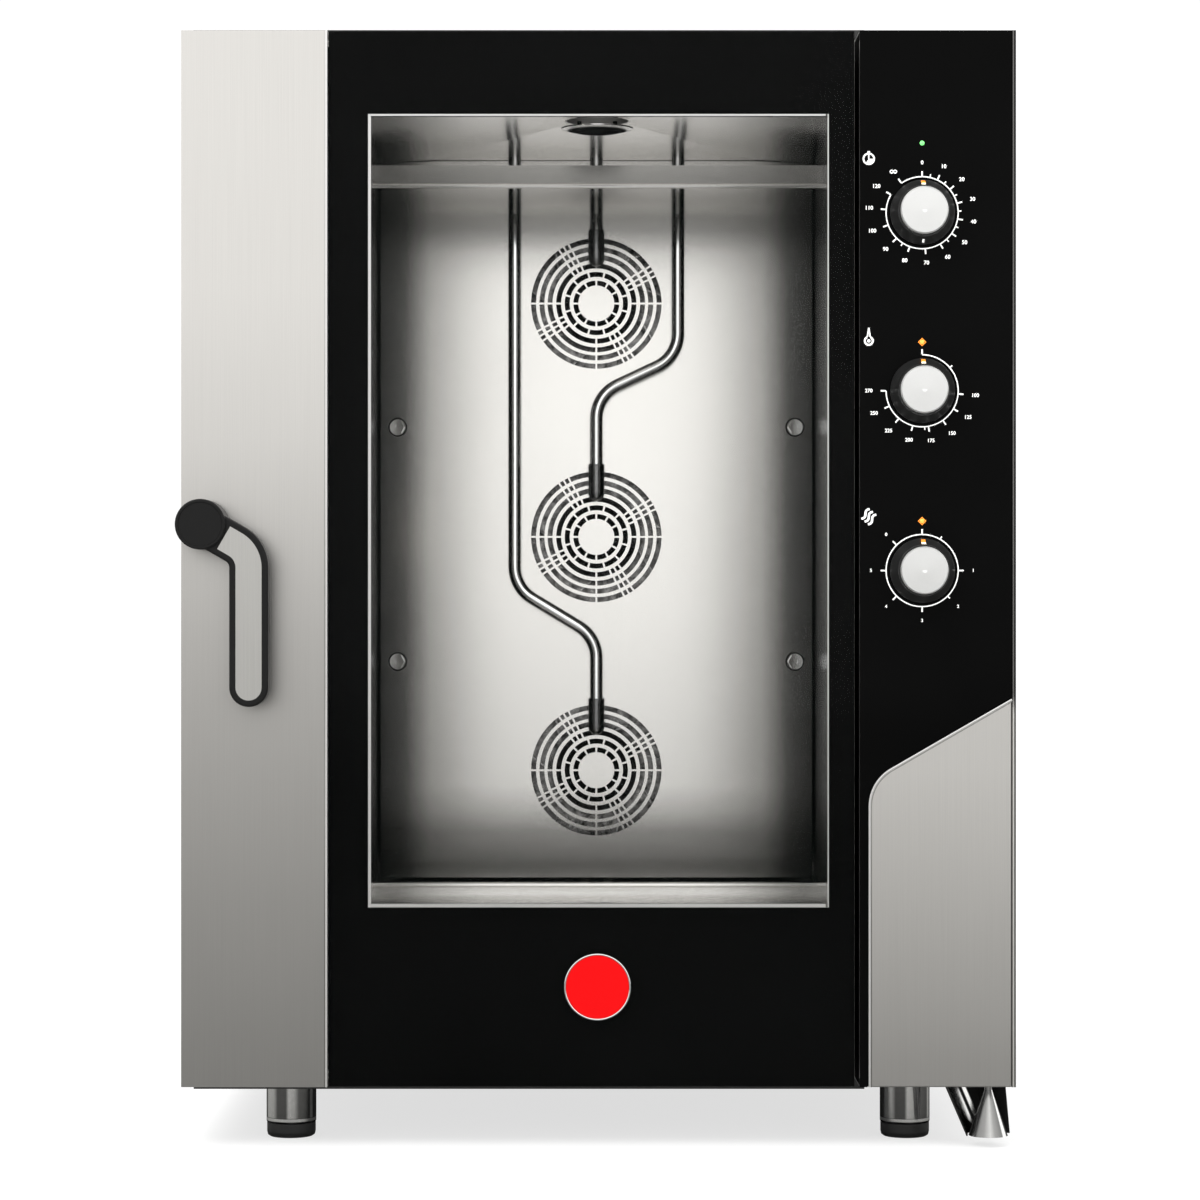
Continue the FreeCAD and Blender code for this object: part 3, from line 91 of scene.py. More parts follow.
def map_range(tree, source, low, high, start, end):
    """A value from low to high as the source goes from start to end."""
    ranged = tree.nodes.new("ShaderNodeMapRange")
    for name, value in (("From Min", start), ("From Max", end), ("To Min", low), ("To Max", high)):
        ranged.inputs[name].default_value = value
    tree.links.new(source, ranged.inputs["Value"])
    return ranged.outputs["Result"]


class Shader:
    """A Principled material with the few node patterns that the surfaces share."""

    def __init__(self, name, **sockets):
        self.material = bpy.data.materials.new(name)
        self.material.use_nodes = True
        self.tree = self.material.node_tree
        self.principled = self.tree.nodes["Principled BSDF"]
        self.place = self.tree.nodes.new("ShaderNodeTexCoord").outputs["Object"]
        for socket, value in sockets.items():
            self.principled.inputs[socket.replace("_", " ")].default_value = value

    def node(self, kind, **values):
        made = self.tree.nodes.new(kind)
        for key, value in values.items():
            setattr(made, key, value)
        return made

    def link(self, source, target):
        self.tree.links.new(source, target)

    def noise(self, scale, detail=3.0, rough=0.55):
        """Noise over the object's place; scale is per metre, one number or one for each axis."""
        scales = scale if isinstance(scale, tuple) else (scale, scale, scale)
        mapping = self.node("ShaderNodeMapping")
        mapping.inputs["Scale"].default_value = scales
        self.link(self.place, mapping.inputs["Vector"])
        noise = self.node("ShaderNodeTexNoise")
        noise.inputs["Scale"].default_value = 1.0
        noise.inputs["Detail"].default_value = detail
        noise.inputs["Roughness"].default_value = rough
        self.link(mapping.outputs["Vector"], noise.inputs["Vector"])
        return noise.outputs["Fac"]

    def spread(self, source, low, high, start=0.3, end=0.7):
        """A value from low to high as the source goes from start to end."""
        return map_range(self.tree, source, low, high, start, end)

    def ramp(self, source, stops):
        """A colour from a list of (position, colour) stops."""
        return colour_ramp(self.tree, source, stops)

    def axes(self):
        """The object's X, Y and Z at each point."""
        split = self.node("ShaderNodeSeparateXYZ")
        self.link(self.place, split.inputs["Vector"])
        return split.outputs

    def shade(self, source, stops):
        """A grey factor from a list of (position, level) stops."""
        return self.ramp(source, [(position, (level, level, level)) for position, level in stops])

    def times(self, first, second):
        """Product of two colours."""
        mix = self.node("ShaderNodeMix", data_type="RGBA", blend_type="MULTIPLY")
        mix.inputs["Factor"].default_value = 1.0
        self.link(first, mix.inputs["A"])
        self.link(second, mix.inputs["B"])
        return mix.outputs["Result"]

    def blend(self, share, first, second):
        """From the first colour to the second. The second may be fixed numbers."""
        mix = self.node("ShaderNodeMix", data_type="RGBA")
        self.link(share, mix.inputs["Factor"])
        self.link(first, mix.inputs["A"])
        if isinstance(second, tuple):
            mix.inputs["B"].default_value = (*second, 1)
        else:
            self.link(second, mix.inputs["B"])
        return mix.outputs["Result"]

    def math(self, operation, *values):
        """Result of a math node on sockets and numbers."""
        made = self.node("ShaderNodeMath", operation=operation)
        for socket, value in zip(made.inputs, values):
            if isinstance(value, (int, float)):
                socket.default_value = value
            else:
                self.link(value, socket)
        return made.outputs["Value"]

    def radius(self, first, second):
        """Length of a two-part offset."""
        squares = [self.math("MULTIPLY", part, part) for part in (first, second)]
        return self.math("SQRT", self.math("ADD", *squares))

    def bump(self, source, strength, depth):
        bump = self.node("ShaderNodeBump")
        bump.inputs["Strength"].default_value = strength
        bump.inputs["Distance"].default_value = depth
        self.link(source, bump.inputs["Height"])
        self.link(bump.outputs["Normal"], self.principled.inputs["Normal"])

    def colour(self, source):
        self.link(source, self.principled.inputs["Base Color"])

    def roughness(self, source):
        self.link(source, self.principled.inputs["Roughness"])


def tinted(colour, share):
    """A colour made lighter or darker."""
    return tuple(min(1.0, c * share) for c in colour)


def grained(name, colour, rough, grain, contrast=0.06, bump=0.03, cloud=2.5, **sockets):
    """A surface with grain in its colour and relief, and broad clouds in its gloss."""
    shader = Shader(name, **sockets)
    streaks = shader.noise(grain, detail=4.0)
    tones = [(0.3, tinted(colour, 1 - contrast)), (0.7, tinted(colour, 1 + contrast))]
    shader.colour(shader.ramp(streaks, tones))
    shader.roughness(shader.spread(shader.noise(cloud, detail=2.0), rough[0], rough[1]))
    shader.bump(streaks, bump, 0.0004)
    return shader.material


def brushed(name, colour, rough, axis="z", contrast=0.05, bump=0.05):
    """Brushed sheet: fine streaks along one axis."""
    across, along = 1400.0, 9.0
    grain = tuple(along if letter == axis else across for letter in "xyz")
    return grained(name, colour, rough, grain, contrast, bump, Metallic=1.0)


def case_steel(name, stops):
    """The case's brushed skin, with painted shade that makes it darker towards the floor. stops are (share of
    height, brightness) pairs.
    """
    shader = Shader(name, Metallic=1.0)
    streaks = shader.noise((1500.0, 1500.0, 7.0), detail=4.0)
    warm = (1.0, 0.975, 0.945)
    # Painted shade: the colour is scaled by the stops over the height.
    base = shader.ramp(shader.spread(shader.axes()["Z"], 0.0, 1.0, FLOOR_Z, cad_box[1].z),
                       [(share, tinted(warm, level)) for share, level in stops])
    shader.colour(shader.times(base, shader.shade(streaks, [(0.25, 0.94), (0.75, 1.0)])))
    shader.roughness(shader.spread(shader.noise(2.0), 0.30, 0.36))
    shader.bump(streaks, 0.04, 0.0002)
    return shader.material


def liner_steel(colour):
    """Cavity sheet with painted light: mirror-like ceiling and floor painted brighter, and side walls painted
    darker, darkest towards the fans.
    """
    shader = Shader("liner_steel", Metallic=1.0)
    streaks = shader.noise((1400.0, 9.0, 1400.0), detail=4.0)
    normal = shader.node("ShaderNodeSeparateXYZ")
    shader.link(shader.node("ShaderNodeNewGeometry").outputs["True Normal"], normal.inputs["Vector"])
    level = shader.spread(shader.math("ABSOLUTE", normal.outputs["Z"]), 0.0, 1.0)
    front, back = (corner.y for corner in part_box("cavity_liner"))
    depth = shader.spread(shader.axes()["Y"], 0.0, 1.0, front, back)
    # Painted shade on the side walls by depth; painted light brightens the ceiling and floor.
    wall_shade_levels = [(0.0, 0.40), (0.35, 0.33), (0.52, 0.14), (1.0, 0.12)]
    walls = shader.ramp(depth, [(position, tinted(colour, share)) for position, share in wall_shade_levels])
    base = shader.blend(level, walls, tinted(colour, 1.22))
    shader.colour(shader.times(base, shader.shade(streaks, [(0.25, 0.94), (0.75, 1.0)])))
    shader.roughness(shader.spread(shader.noise(3.0), 0.14, 0.20))
    shader.bump(streaks, 0.04, 0.0002)
    return shader.material


def deflector_steel(colour):
    """Satin sheet before the fans, with painted shade: bright in the middle, darker towards its edges."""
    shader = Shader("deflector_satin_steel", Metallic=1.0)
    streaks = shader.noise((1400.0, 1400.0, 9.0), detail=4.0)
    low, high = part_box("fan_deflector")
    axes = shader.axes()
    across = shader.spread(shader.math("ABSOLUTE", axes["X"]), 0.0, 1.0, 0.0, high.x)
    # Painted shade: darker towards the left and right edges.
    side = shader.shade(across, [(0.60, 1.0), (0.69, 0.98), (0.77, 0.92), (0.83, 0.62), (0.885, 0.29),
                                 (0.925, 0.19), (1.0, 0.08)])
    upwards = shader.spread(axes["Z"], 0.0, 1.0, low.z, high.z)
    # Painted shade along the height: dark at the foot and in a band near the top.
    rise = shader.shade(upwards, [(0.04, 0.31), (0.064, 0.40), (0.092, 0.72), (0.13, 1.0), (0.845, 1.0),
                                  (0.877, 0.93), (0.894, 0.76), (0.911, 0.63), (0.928, 0.72), (0.945, 1.0)])
    plain = shader.ramp(streaks, [(0.3, tinted(colour, 0.97)), (0.7, colour)])
    shader.colour(shader.times(plain, shader.times(side, rise)))
    shader.roughness(shader.spread(shader.noise(2.5, detail=2.0), 0.21, 0.25))
    shader.bump(streaks, 0.004, 0.0004)
    return shader.material


def reflecting(shader, levels, rough=(0.12, 0.18)):
    """Finishes a bright steel whose colour carries the given levels of painted reflection; black parts
    reflect nothing.
    """
    fine = shader.noise(240.0)
    warm = shader.ramp(fine, [(0.3, (0.93, 0.925, 0.915)), (0.7, (1.0, 0.995, 0.985))])
    shader.principled.inputs["Specular IOR Level"].default_value = 0.0
    # Painted reflection: the levels set the metal share and the colour.
    shader.link(shader.spread(levels, 0.0, 1.0, 0.02, 0.10), shader.principled.inputs["Metallic"])
    shader.colour(shader.times(levels, warm))
    shader.roughness(shader.spread(fine, *rough))
    return shader.material


def sleeve_steel():
    """Foot sleeves: painted reflections in upright bright and dark stripes, and a painted highlight ring at
    the lower end.
    """
    shader = Shader("sleeve_steel")
    axes = shader.axes()
    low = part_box("foot_sleeves")[0]
    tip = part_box("foot_front_left_tip")
    radius = (tip[1].x - tip[0].x) / 2
    axis = low.x + radius
    offset = shader.math("ADD", shader.math("WRAP", axes["X"], 2 * axis, 0.0), -axis)
    across = shader.spread(offset, 0.0, 1.0, -radius, radius)
    # Painted reflections across the sleeve.
    reflection_bands = shader.shade(across, [(0.03, 0.02), (0.06, 1.0), (0.18, 0.80), (0.26, 0.17), (0.44, 0.17),
                                  (0.50, 0.95), (0.61, 0.80), (0.70, 0.24), (0.91, 0.18), (0.93, 1.0),
                                  (0.955, 1.0), (0.975, 0.02)])
    ring = shader.spread(axes["Z"], 0.0, 1.0, low.z, low.z + 8 * MM)
    # Painted highlight ring, with painted shade next to it.
    bright = shader.shade(ring, [(0.20, 0.0), (0.26, 1.0), (0.56, 1.0), (0.64, 0.0)])
    beside = shader.shade(ring, [(0.14, 0.02), (0.20, 0.10), (0.64, 0.30), (0.72, 1.0)])
    return reflecting(shader, shader.blend(bright, shader.times(reflection_bands, beside), (1, 1, 1)))


def cone_steel():
    """Drip cone: painted reflections, bright down both edges and along its middle."""
    shader = Shader("cone_steel")
    axes = shader.axes()
    low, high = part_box("drip_cone")
    wide, narrow, stem = (high.x - low.x) / 2, 4 * MM, 6 * MM
    reach = shader.spread(axes["Z"], wide, narrow, low.z, high.z - stem)
    offset = shader.math("SUBTRACT", axes["X"], middle("drip_cone").x)
    across = shader.spread(shader.math("DIVIDE", offset, reach), 0.0, 1.0, -1.0, 1.0)
    # Painted reflection levels across the cone.
    levels = shader.shade(across, [(0.01, 0.03), (0.03, 0.95), (0.08, 0.95), (0.11, 0.22), (0.33, 0.30),
                                   (0.50, 0.58), (0.62, 0.34), (0.82, 0.20), (0.86, 1.0), (0.92, 1.0),
                                   (0.95, 0.02)])
    return reflecting(shader, levels, (0.2, 0.26))


def cowl_steel():
    """Polished cowl: painted black and bright reflections that follow its slanting left edge."""
    shader = Shader("cowl_steel")
    axes = shader.axes()
    low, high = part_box("drip_cowl")
    lean, reach = 23 / 53, 40 * MM
    shift = shader.math("MULTIPLY", shader.math("SUBTRACT", axes["Z"], high.z), lean)
    cowl_reflections = shader.spread(shader.math("ADD", axes["X"], shift), 0.0, 1.0, low.x, low.x + reach)
    # Painted reflection levels across the cowl.
    levels = [(0.03, 0.02), (0.06, 0.30), (0.20, 0.20), (0.23, 0.95), (0.34, 0.95), (0.37, 0.02),
              (0.44, 0.02), (0.47, 1.0), (0.54, 1.0), (0.57, 0.01)]
    return reflecting(shader, shader.shade(cowl_reflections, levels))


def baffle_steel():
    """Vent disc: painted shade in its middle inside a painted highlight on its rim."""
    shader = Shader("baffle_steel")
    axes = shader.axes()
    spot = middle("vent_disc")
    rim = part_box("vent_disc")[1].x - spot.x
    out = shader.radius(shader.math("SUBTRACT", axes["X"], spot.x),
                        shader.math("SUBTRACT", axes["Y"], spot.y))
    share = shader.spread(out, 0.0, 1.0, 0.0, rim)
    # Painted shade inside, painted highlight at the rim.
    return reflecting(shader, shader.shade(share, [(0.70, 0.015), (0.80, 0.03), (0.88, 0.85), (1.0, 1.0)]))


def fan_steel():
    """Fan wheels: painted shade round the hub, and spots of painted glint towards the rim."""
    shader = Shader("fan_steel", Metallic=1.0)
    axes = shader.axes()
    centre = middle("middle_fan_wheel").z
    half = (middle("upper_fan_wheel").z - centre) / 2
    rise = shader.math("ADD", shader.math("WRAP", axes["Z"], centre - half, centre + half), -centre)
    reach = 0.1
    out = shader.spread(shader.radius(axes["X"], rise), 0.0, 1.0, 0.0, reach)
    # Painted glints: light and dark spots.
    glint_flecks = [(0.3, (0.036, 0.035, 0.034)), (0.7, (0.44, 0.43, 0.42))]
    speck = shader.ramp(shader.noise(110.0, detail=4.0), glint_flecks)
    # Painted shade: dark round the hub, full brightness towards the rim.
    shader.colour(shader.times(speck, shader.shade(out, [(0.40, 0.03), (0.50, 0.10), (0.60, 1.0)])))
    shader.roughness(shader.spread(shader.noise(60.0, detail=2.0), 0.22, 0.36))
    return shader.material


def black_glass(name):
    """Deep black enamelled glass with a faint uneven gloss."""
    shader = Shader(name, Specular_IOR_Level=0.03)
    shader.colour(shader.shade(shader.noise(5.0), [(0.3, 0.0012), (0.7, 0.0017)]))
    shader.roughness(shader.spread(shader.noise(9.0), 0.05, 0.09))
    return shader.material


def clear_glass():
    """Clear pane: nearly all light goes straight through."""
    shader = Shader("clear_glass", Alpha=0.04, Specular_IOR_Level=0.3)
    tones = [(0.3, (0.004, 0.006, 0.005)), (0.7, (0.008, 0.011, 0.010))]
    shader.colour(shader.ramp(shader.noise(4.0), tones))
    shader.roughness(shader.spread(shader.noise(7.0), 0.02, 0.06))
    return shader.material


def moulded(name, colour, rough, pitch=2600.0, bump=0.12, **sockets):
    """Moulded plastic or rubber with a fine even texture."""
    return grained(name, colour, rough, pitch, contrast=0.18, bump=bump, cloud=12.0, **sockets)


def mineral_wool():
    """Yellow-brown fibres."""
    shader = Shader("mineral_wool", Roughness=0.95, Sheen_Weight=0.3)
    fibres = shader.noise((260.0, 900.0, 260.0), detail=8.0, rough=0.75)
    tones = [(0.3, (0.30, 0.24, 0.10)), (0.55, (0.55, 0.46, 0.24)), (0.75, (0.72, 0.65, 0.42))]
    shader.colour(shader.ramp(fibres, tones))
    shader.bump(fibres, 0.8, 0.003)
    return shader.material


def heat_tinted():
    """Heater sheath: dark tube with straw and blue heat colours."""
    shader = Shader("heat_tinted_tube", Metallic=1.0)
    tint = shader.noise(22.0, detail=3.0)
    tones = [(0.3, (0.10, 0.085, 0.08)), (0.5, (0.22, 0.16, 0.10)), (0.7, (0.12, 0.13, 0.17))]
    shader.colour(shader.ramp(tint, tones))
    shader.roughness(shader.spread(shader.noise(60.0), 0.35, 0.55))
    return shader.material


def electric():
    """Board, relays and switches: tone changes from block to block."""
    shader = Shader("board_and_blocks", Roughness=0.5)
    cells = shader.node("ShaderNodeTexVoronoi")
    cells.inputs["Scale"].default_value = 26.0
    shader.link(shader.place, cells.inputs["Vector"])
    tone = shader.node("ShaderNodeSeparateColor")
    shader.link(cells.outputs["Color"], tone.inputs["Color"])
    tones = [(0.0, (0.03, 0.10, 0.05)), (0.45, (0.04, 0.14, 0.07)), (0.55, (0.30, 0.30, 0.29)),
             (1.0, (0.05, 0.05, 0.055))]
    shader.colour(shader.ramp(tone.outputs["Red"], tones))
    shader.bump(shader.noise(900.0), 0.1, 0.0003)
    return shader.material


def lamp_lens():
    """Indicator lenses: green above the timer, orange above the other two knobs."""
    shader = Shader("indicator_lens", Roughness=0.25)
    above = middle("timer_knob_cap").z
    share = shader.spread(shader.axes()["Z"], 0.0, 1.0, above, above + MM)
    speck = shader.noise(1500.0)
    orange = shader.ramp(speck, [(0.3, (0.85, 0.22, 0.02)), (0.7, (1.0, 0.42, 0.08))])
    green = shader.ramp(speck, [(0.3, (0.05, 0.45, 0.08)), (0.7, (0.25, 0.85, 0.25))])
    glow = shader.blend(share, orange, green)
    shader.colour(glow)
    shader.link(glow, shader.principled.inputs["Emission Color"])
    shader.principled.inputs["Emission Strength"].default_value = 0.6
    return shader.material


def frosted_lens():
    """Oven lamp: a frosted lens that glows a little."""
    shader = Shader("frosted_lens", Emission_Strength=0.5)
    cells = shader.noise(320.0)
    shader.colour(shader.ramp(cells, [(0.3, (0.75, 0.76, 0.72)), (0.7, (0.88, 0.88, 0.84))]))
    shader.principled.inputs["Emission Color"].default_value = (1.0, 0.95, 0.85, 1)
    shader.roughness(shader.spread(cells, 0.35, 0.5))
    shader.bump(cells, 0.3, 0.0006)
    return shader.material


def red_enamel():
    """Red enamel with fine flake under a gloss coat."""
    return grained("red_enamel", (0.50, 0.0025, 0.0035), (0.32, 0.42), 2200.0, 0.05, 0.02, 30.0,
                   Coat_Weight=0.02, Coat_Roughness=0.06, Specular_IOR_Level=0.03)


def ink(name, colour):
    """Screen-printed ink, slightly uneven."""
    return grained(name, colour, (0.45, 0.6), 3000.0, 0.04, 0.05, 40.0, Specular_IOR_Level=0.2)


def materials():
    """All finishes by name, and the CAD nodes that wear each."""
    cavity = (0.74, 0.73, 0.71)
    polish = (0.86, 0.86, 0.855)
    turning = (300.0, 300.0, 1600.0)
    # Painted shade by share of height: the case and the cover darker towards the floor.
    case_shade_levels = [(0.0, 0.37), (0.10, 0.40), (0.22, 0.46), (0.45, 0.63), (0.62, 0.80), (0.75, 0.85),
                   (1.0, 0.80)]
    cover_shade_levels = [(0.0, 0.48), (0.08, 0.52), (0.26, 0.73), (0.33, 0.81)]
    # Painted highlight of the column's edge line: bright along the cover, grey beside the glass.
    highlight_levels = [(0.0, 0.80), (0.38, 0.95), (0.395, 0.20), (1.0, 0.17)]
    # Painted shadow in the corner and gap beside that line.
    shadow_levels = [(0.0, 0.16), (0.38, 0.12), (0.395, 0.004), (1.0, 0.004)]
    # Painted shadow line beside the rolled edges, darker towards the floor.
    shadow_line_levels = [(0.0, 0.20), (0.20, 0.26), (0.28, 0.40), (0.5, 0.46), (0.75, 0.72), (1.0, 0.75)]
    looks = {
        "case": (case_steel("case_brushed_steel", case_shade_levels),
                 ["left_side_panel", "right_side_panel", "door_side_strip", "back_panel"]),
        "cover": (case_steel("cover_brushed_steel", cover_shade_levels), ["lower_control_cover"]),
        "edge_painted_highlight": (case_steel("edge_line_steel", highlight_levels), []),
        "edge_painted_shadow": (case_steel("edge_dark_steel", shadow_levels), []),
        "painted_shadow_line": (case_steel("shadow_line_steel", shadow_line_levels), []),
        "bead": (brushed("bead_steel", (0.92, 0.91, 0.90), (0.26, 0.34), "x", 0.03), []),
        "lid": (brushed("lid_brushed_steel", (0.66, 0.65, 0.63), (0.30, 0.38), "x"), ["top_cover"]),
        "inlay": (brushed("inlay_brushed_steel", (0.63, 0.62, 0.60), (0.28, 0.34)), ["handle_inlay"]),
        "deflector": (deflector_steel((0.81, 0.795, 0.765)), ["fan_deflector"]),
        "liner": (liner_steel(cavity), ["cavity_liner"]),
        "rails": (brushed("rail_steel", cavity, (0.18, 0.24), "x"), ["cross_rails"]),
        "frame": (brushed("folded_steel", (0.62, 0.61, 0.60), (0.24, 0.32)),
                  ["front_facade", "door_frame"]),
        # Black with no reflection, so the column's wall in the gap beside the door shows as a painted shadow.
        "coated": (moulded("black_gap_shadow_coat", (0.004, 0.004, 0.004), (0.5, 0.6), 1400.0, 0.2, IOR=1.0),
                   ["control_column_body"]),
        "hidden": (brushed("galvanised_steel", (0.50, 0.51, 0.52), (0.38, 0.5), "y", 0.12),
                   ["base_tray", "latch_keeper", "hinge_brackets", "steam_manifold"]),
        "polished": (grained("polished_steel", polish, (0.05, 0.09), 90.0, 0.02, 0.01, Metallic=1.0),
                     ["steam_pipe_left", "steam_pipe_centre", "steam_pipe_right", "deflector_screws"]),
        "baffle": (baffle_steel(), ["vent_disc"]),
        "fan": (fan_steel(), [name + "_fan_wheel" for name in FANS]),
        "sleeve": (sleeve_steel(), ["foot_sleeves"]),
        "cone": (cone_steel(), ["drip_cone"]),
        "cowl": (cowl_steel(), ["drip_cowl"]),
        "nozzle": (grained("dark_nozzle_steel", (0.20, 0.20, 0.20), (0.12, 0.2), 300.0, 0.1, 0.02,
                           Metallic=1.0), ["pipe_nozzles"]),
        "turned": (grained("turned_steel", (0.62, 0.61, 0.60), (0.25, 0.34), turning, 0.06, 0.04,
                           Metallic=1.0),
                   ["exhaust_chimney", "drain_pipe", "handle_spindle", "latch_hook", "case_screws"]),
        "heater": (heat_tinted(), ["heating_elements"]),
        "motor": (moulded("motor_paint", (0.03, 0.03, 0.033), (0.4, 0.55), 700.0, 0.3), ["fan_motors"]),
        "wool": (mineral_wool(), ["insulation"]),
        "pane": (clear_glass(), ["outer_glass", "inner_glass"]),
        "black_pane": (black_glass("black_glass"), ["control_panel_glass", "glass_mask"]),
        "seal": (moulded("silicone_seal", (0.018, 0.018, 0.018), (0.5, 0.65), 1500.0), ["door_gasket"]),
        "grip": (moulded("grip_moulding", (0.005, 0.005, 0.005), (0.36, 0.46), 2600.0, 0.08,
                         Specular_IOR_Level=0.18), ["handle_grip"]),
        "skirt": (moulded("knob_moulding", (0.008, 0.008, 0.008), (0.34, 0.42), 2600.0, 0.06),
                  [name + "_knob_skirt" for name in KNOBS]),
        "cap": (grained("satin_cap", (0.83, 0.83, 0.825), (0.32, 0.4), 1800.0, 0.02, 0.03, Metallic=0.9),
                [name + "_knob_cap" for name in KNOBS]),
        "foot": (moulded("foot_nylon", (0.015, 0.015, 0.015), (0.3, 0.42)),
                 ["foot_" + name + "_tip" for name in FEET]),
        "lens": (lamp_lens(), ["indicator_lamps"]),
        "badge": (red_enamel(), ["badge"]),
        "oven_lamp": (frosted_lens(), ["cavity_lamp"]),
        "electric": (electric(), ["control_switches", "control_board"]),
        "valve": (moulded("valve_nylon", (0.06, 0.06, 0.065), (0.4, 0.55)),
                  ["water_inlet_valve", "cable_gland"]),
    }
    for material, nodes in looks.values():
        for node in nodes:
            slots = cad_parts[node].data.materials
            slots.clear()
            slots.append(material)
    return {name: material for name, (material, nodes) in looks.items()}


LOOK = materials()
WHITE_INK = ink("white_ink", (0.88, 0.88, 0.87))
ORANGE_INK = ink("orange_ink", (0.95, 0.28, 0.03))
CREAM_INK = ink("cream_ink", (0.98, 0.90, 0.72))


# ------------------------------------------------------------------ mesh helpers

def piece(name, mesh, material, body):
    """A finished object that rides on a CAD body."""
    made = bpy.data.objects.new(name, mesh)
    bpy.context.scene.collection.objects.link(made)
    mesh.materials.clear()
    mesh.materials.append(material)
    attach(made, body)
    return made


def from_bmesh(name, bm):
    """A mesh from a bmesh, with outward normals."""
    bmesh.ops.recalc_face_normals(bm, faces=bm.faces)
    mesh = bpy.data.meshes.new(name)
    bm.to_mesh(mesh)
    bm.free()
    return mesh


def add_outline(bm, points, front, thickness):
    """Adds a flat solid on an outline of (x, z) points that faces the front."""
    near = [bm.verts.new((x, front, z)) for x, z in points]
    far = [bm.verts.new((x, front + thickness, z)) for x, z in points]
    bm.faces.new(near)
    bm.faces.new(list(reversed(far)))
    for i in range(len(points)):
        j = (i + 1) % len(points)
        bm.faces.new([near[j], near[i], far[i], far[j]])


def polar(centre, radius, angle):
    """Point at an angle in degrees, clockwise from the top."""
    a = math.radians(angle)
    return centre[0] + radius * math.sin(a), centre[1] + radius * math.cos(a)


def arc_band(centre, inner, outer, start, end):
    """Outline of a ring's stretch between two clock angles."""
    steps = max(2, round((end - start) / 3))
    angles = [start + (end - start) * i / steps for i in range(steps + 1)]
    return [polar(centre, outer, a) for a in angles] + [polar(centre, inner, a) for a in reversed(angles)]


def tick(centre, inner, outer, angle, width):
    """Outline of a short radial line."""
    a = math.radians(angle)
    side = Vector((math.cos(a), -math.sin(a))) * width / 2
    near, far = Vector(polar(centre, inner, angle)), Vector(polar(centre, outer, angle))
    return [tuple(near - side), tuple(near + side), tuple(far + side), tuple(far - side)]


def add_text(bm, words, centre, size, front, thickness):
    """Adds raised figures centred on an (x, z) point."""
    curve = bpy.data.curves.new("figures", "FONT")
    curve.body = words
    curve.size = size
    curve.align_x = "CENTER"
    curve.align_y = "CENTER"
    curve.offset = size * 0.016
    curve.extrude = thickness / 2
    curve.resolution_u = 4
    holder = bpy.data.objects.new("figures", curve)
    bpy.context.scene.collection.objects.link(holder)
    shape = bpy.data.meshes.new_from_object(holder.evaluated_get(bpy.context.evaluated_depsgraph_get()))
    place = Matrix.Translation((centre[0], front + thickness / 2, centre[1]))
    shape.transform(place @ Matrix.Rotation(math.pi / 2, 4, "X"))
    bm.from_mesh(shape)
    bpy.data.objects.remove(holder)
    bpy.data.curves.remove(curve)
    bpy.data.meshes.remove(shape)


# ------------------------------------------------------------------ dials

INK = 0.15 * MM
PRINT_FRONT = PANEL_FRONT - INK
RING = (36.1 * MM, 37.3 * MM)
TICK_START = RING[1] - 0.2 * MM
MAJOR_END = 42.2 * MM
MINOR_END = 40.0 * MM
TICK_WIDTH = 1.5 * MM
LABEL_RADIUS = 51.0 * MM
ICON_OFFSET = (-54.3 * MM, 54.8 * MM)


def add_ring(bm, centre, inner, outer, start=0, end=360):
    """Printed ring, or a stretch of it, in two halves."""
    half = (start + end) / 2
    for a, b in ((start, half), (half, end)):
        add_outline(bm, arc_band(centre, inner, outer, a, b), PRINT_FRONT, INK)


def add_tick(bm, centre, inner, outer, angle, width):
    """Printed radial line."""
    add_outline(bm, tick(centre, inner, outer, angle, width), PRINT_FRONT, INK)


def dial(bm, centre, arcs, majors, minors, labels, size):
    """Ring, ticks and figures round one knob."""
    for start, end in arcs:
        add_ring(bm, centre, *RING, start, end)
    for angle in majors:
        add_tick(bm, centre, TICK_START, MAJOR_END, angle, TICK_WIDTH)
    for angle in minors:
        add_tick(bm, centre, TICK_START, MINOR_END, angle, TICK_WIDTH * 0.8)
    for angle, words in labels:
        reach = LABEL_RADIUS + 2.2 * MM * abs(math.sin(math.radians(angle))) * len(words) / 2
        add_text(bm, words, polar(centre, reach, angle), size, PRINT_FRONT, INK)


def clock_icon(bm, centre):
    """Round dial with a crown, one hand and the run time filled in."""
    rim, face = 4.6 * MM, 4.7 * MM
    add_ring(bm, centre, rim, 6.2 * MM)
    add_tick(bm, centre, 6.0 * MM, 7.8 * MM, 0, 2.6 * MM)
    add_tick(bm, centre, 0, face, 0, 1.2 * MM)
    add_outline(bm, arc_band(centre, 0.6 * MM, face, 90, 215), PRINT_FRONT, INK)


def thermometer_icon(bm, centre):
    """Bulb and stem."""
    bulb = (centre[0], centre[1] - 4.0 * MM)
    z0, z1 = bulb[1] + 4.2 * MM, bulb[1] + 13.4 * MM
    add_ring(bm, bulb, 3.1 * MM, 5.0 * MM, 25, 335)
    for side in (-1, 1):
        x0, x1 = bulb[0] + side * 2.1 * MM, bulb[0] + side * 0.7 * MM
        wall = [(x0, z0), (x1, z1), (x1 - side * 0.9 * MM, z1), (x0 - side * 1.5 * MM, z0)]
        add_outline(bm, wall, PRINT_FRONT, INK)
    add_ring(bm, bulb, 0.2 * MM, 1.6 * MM)


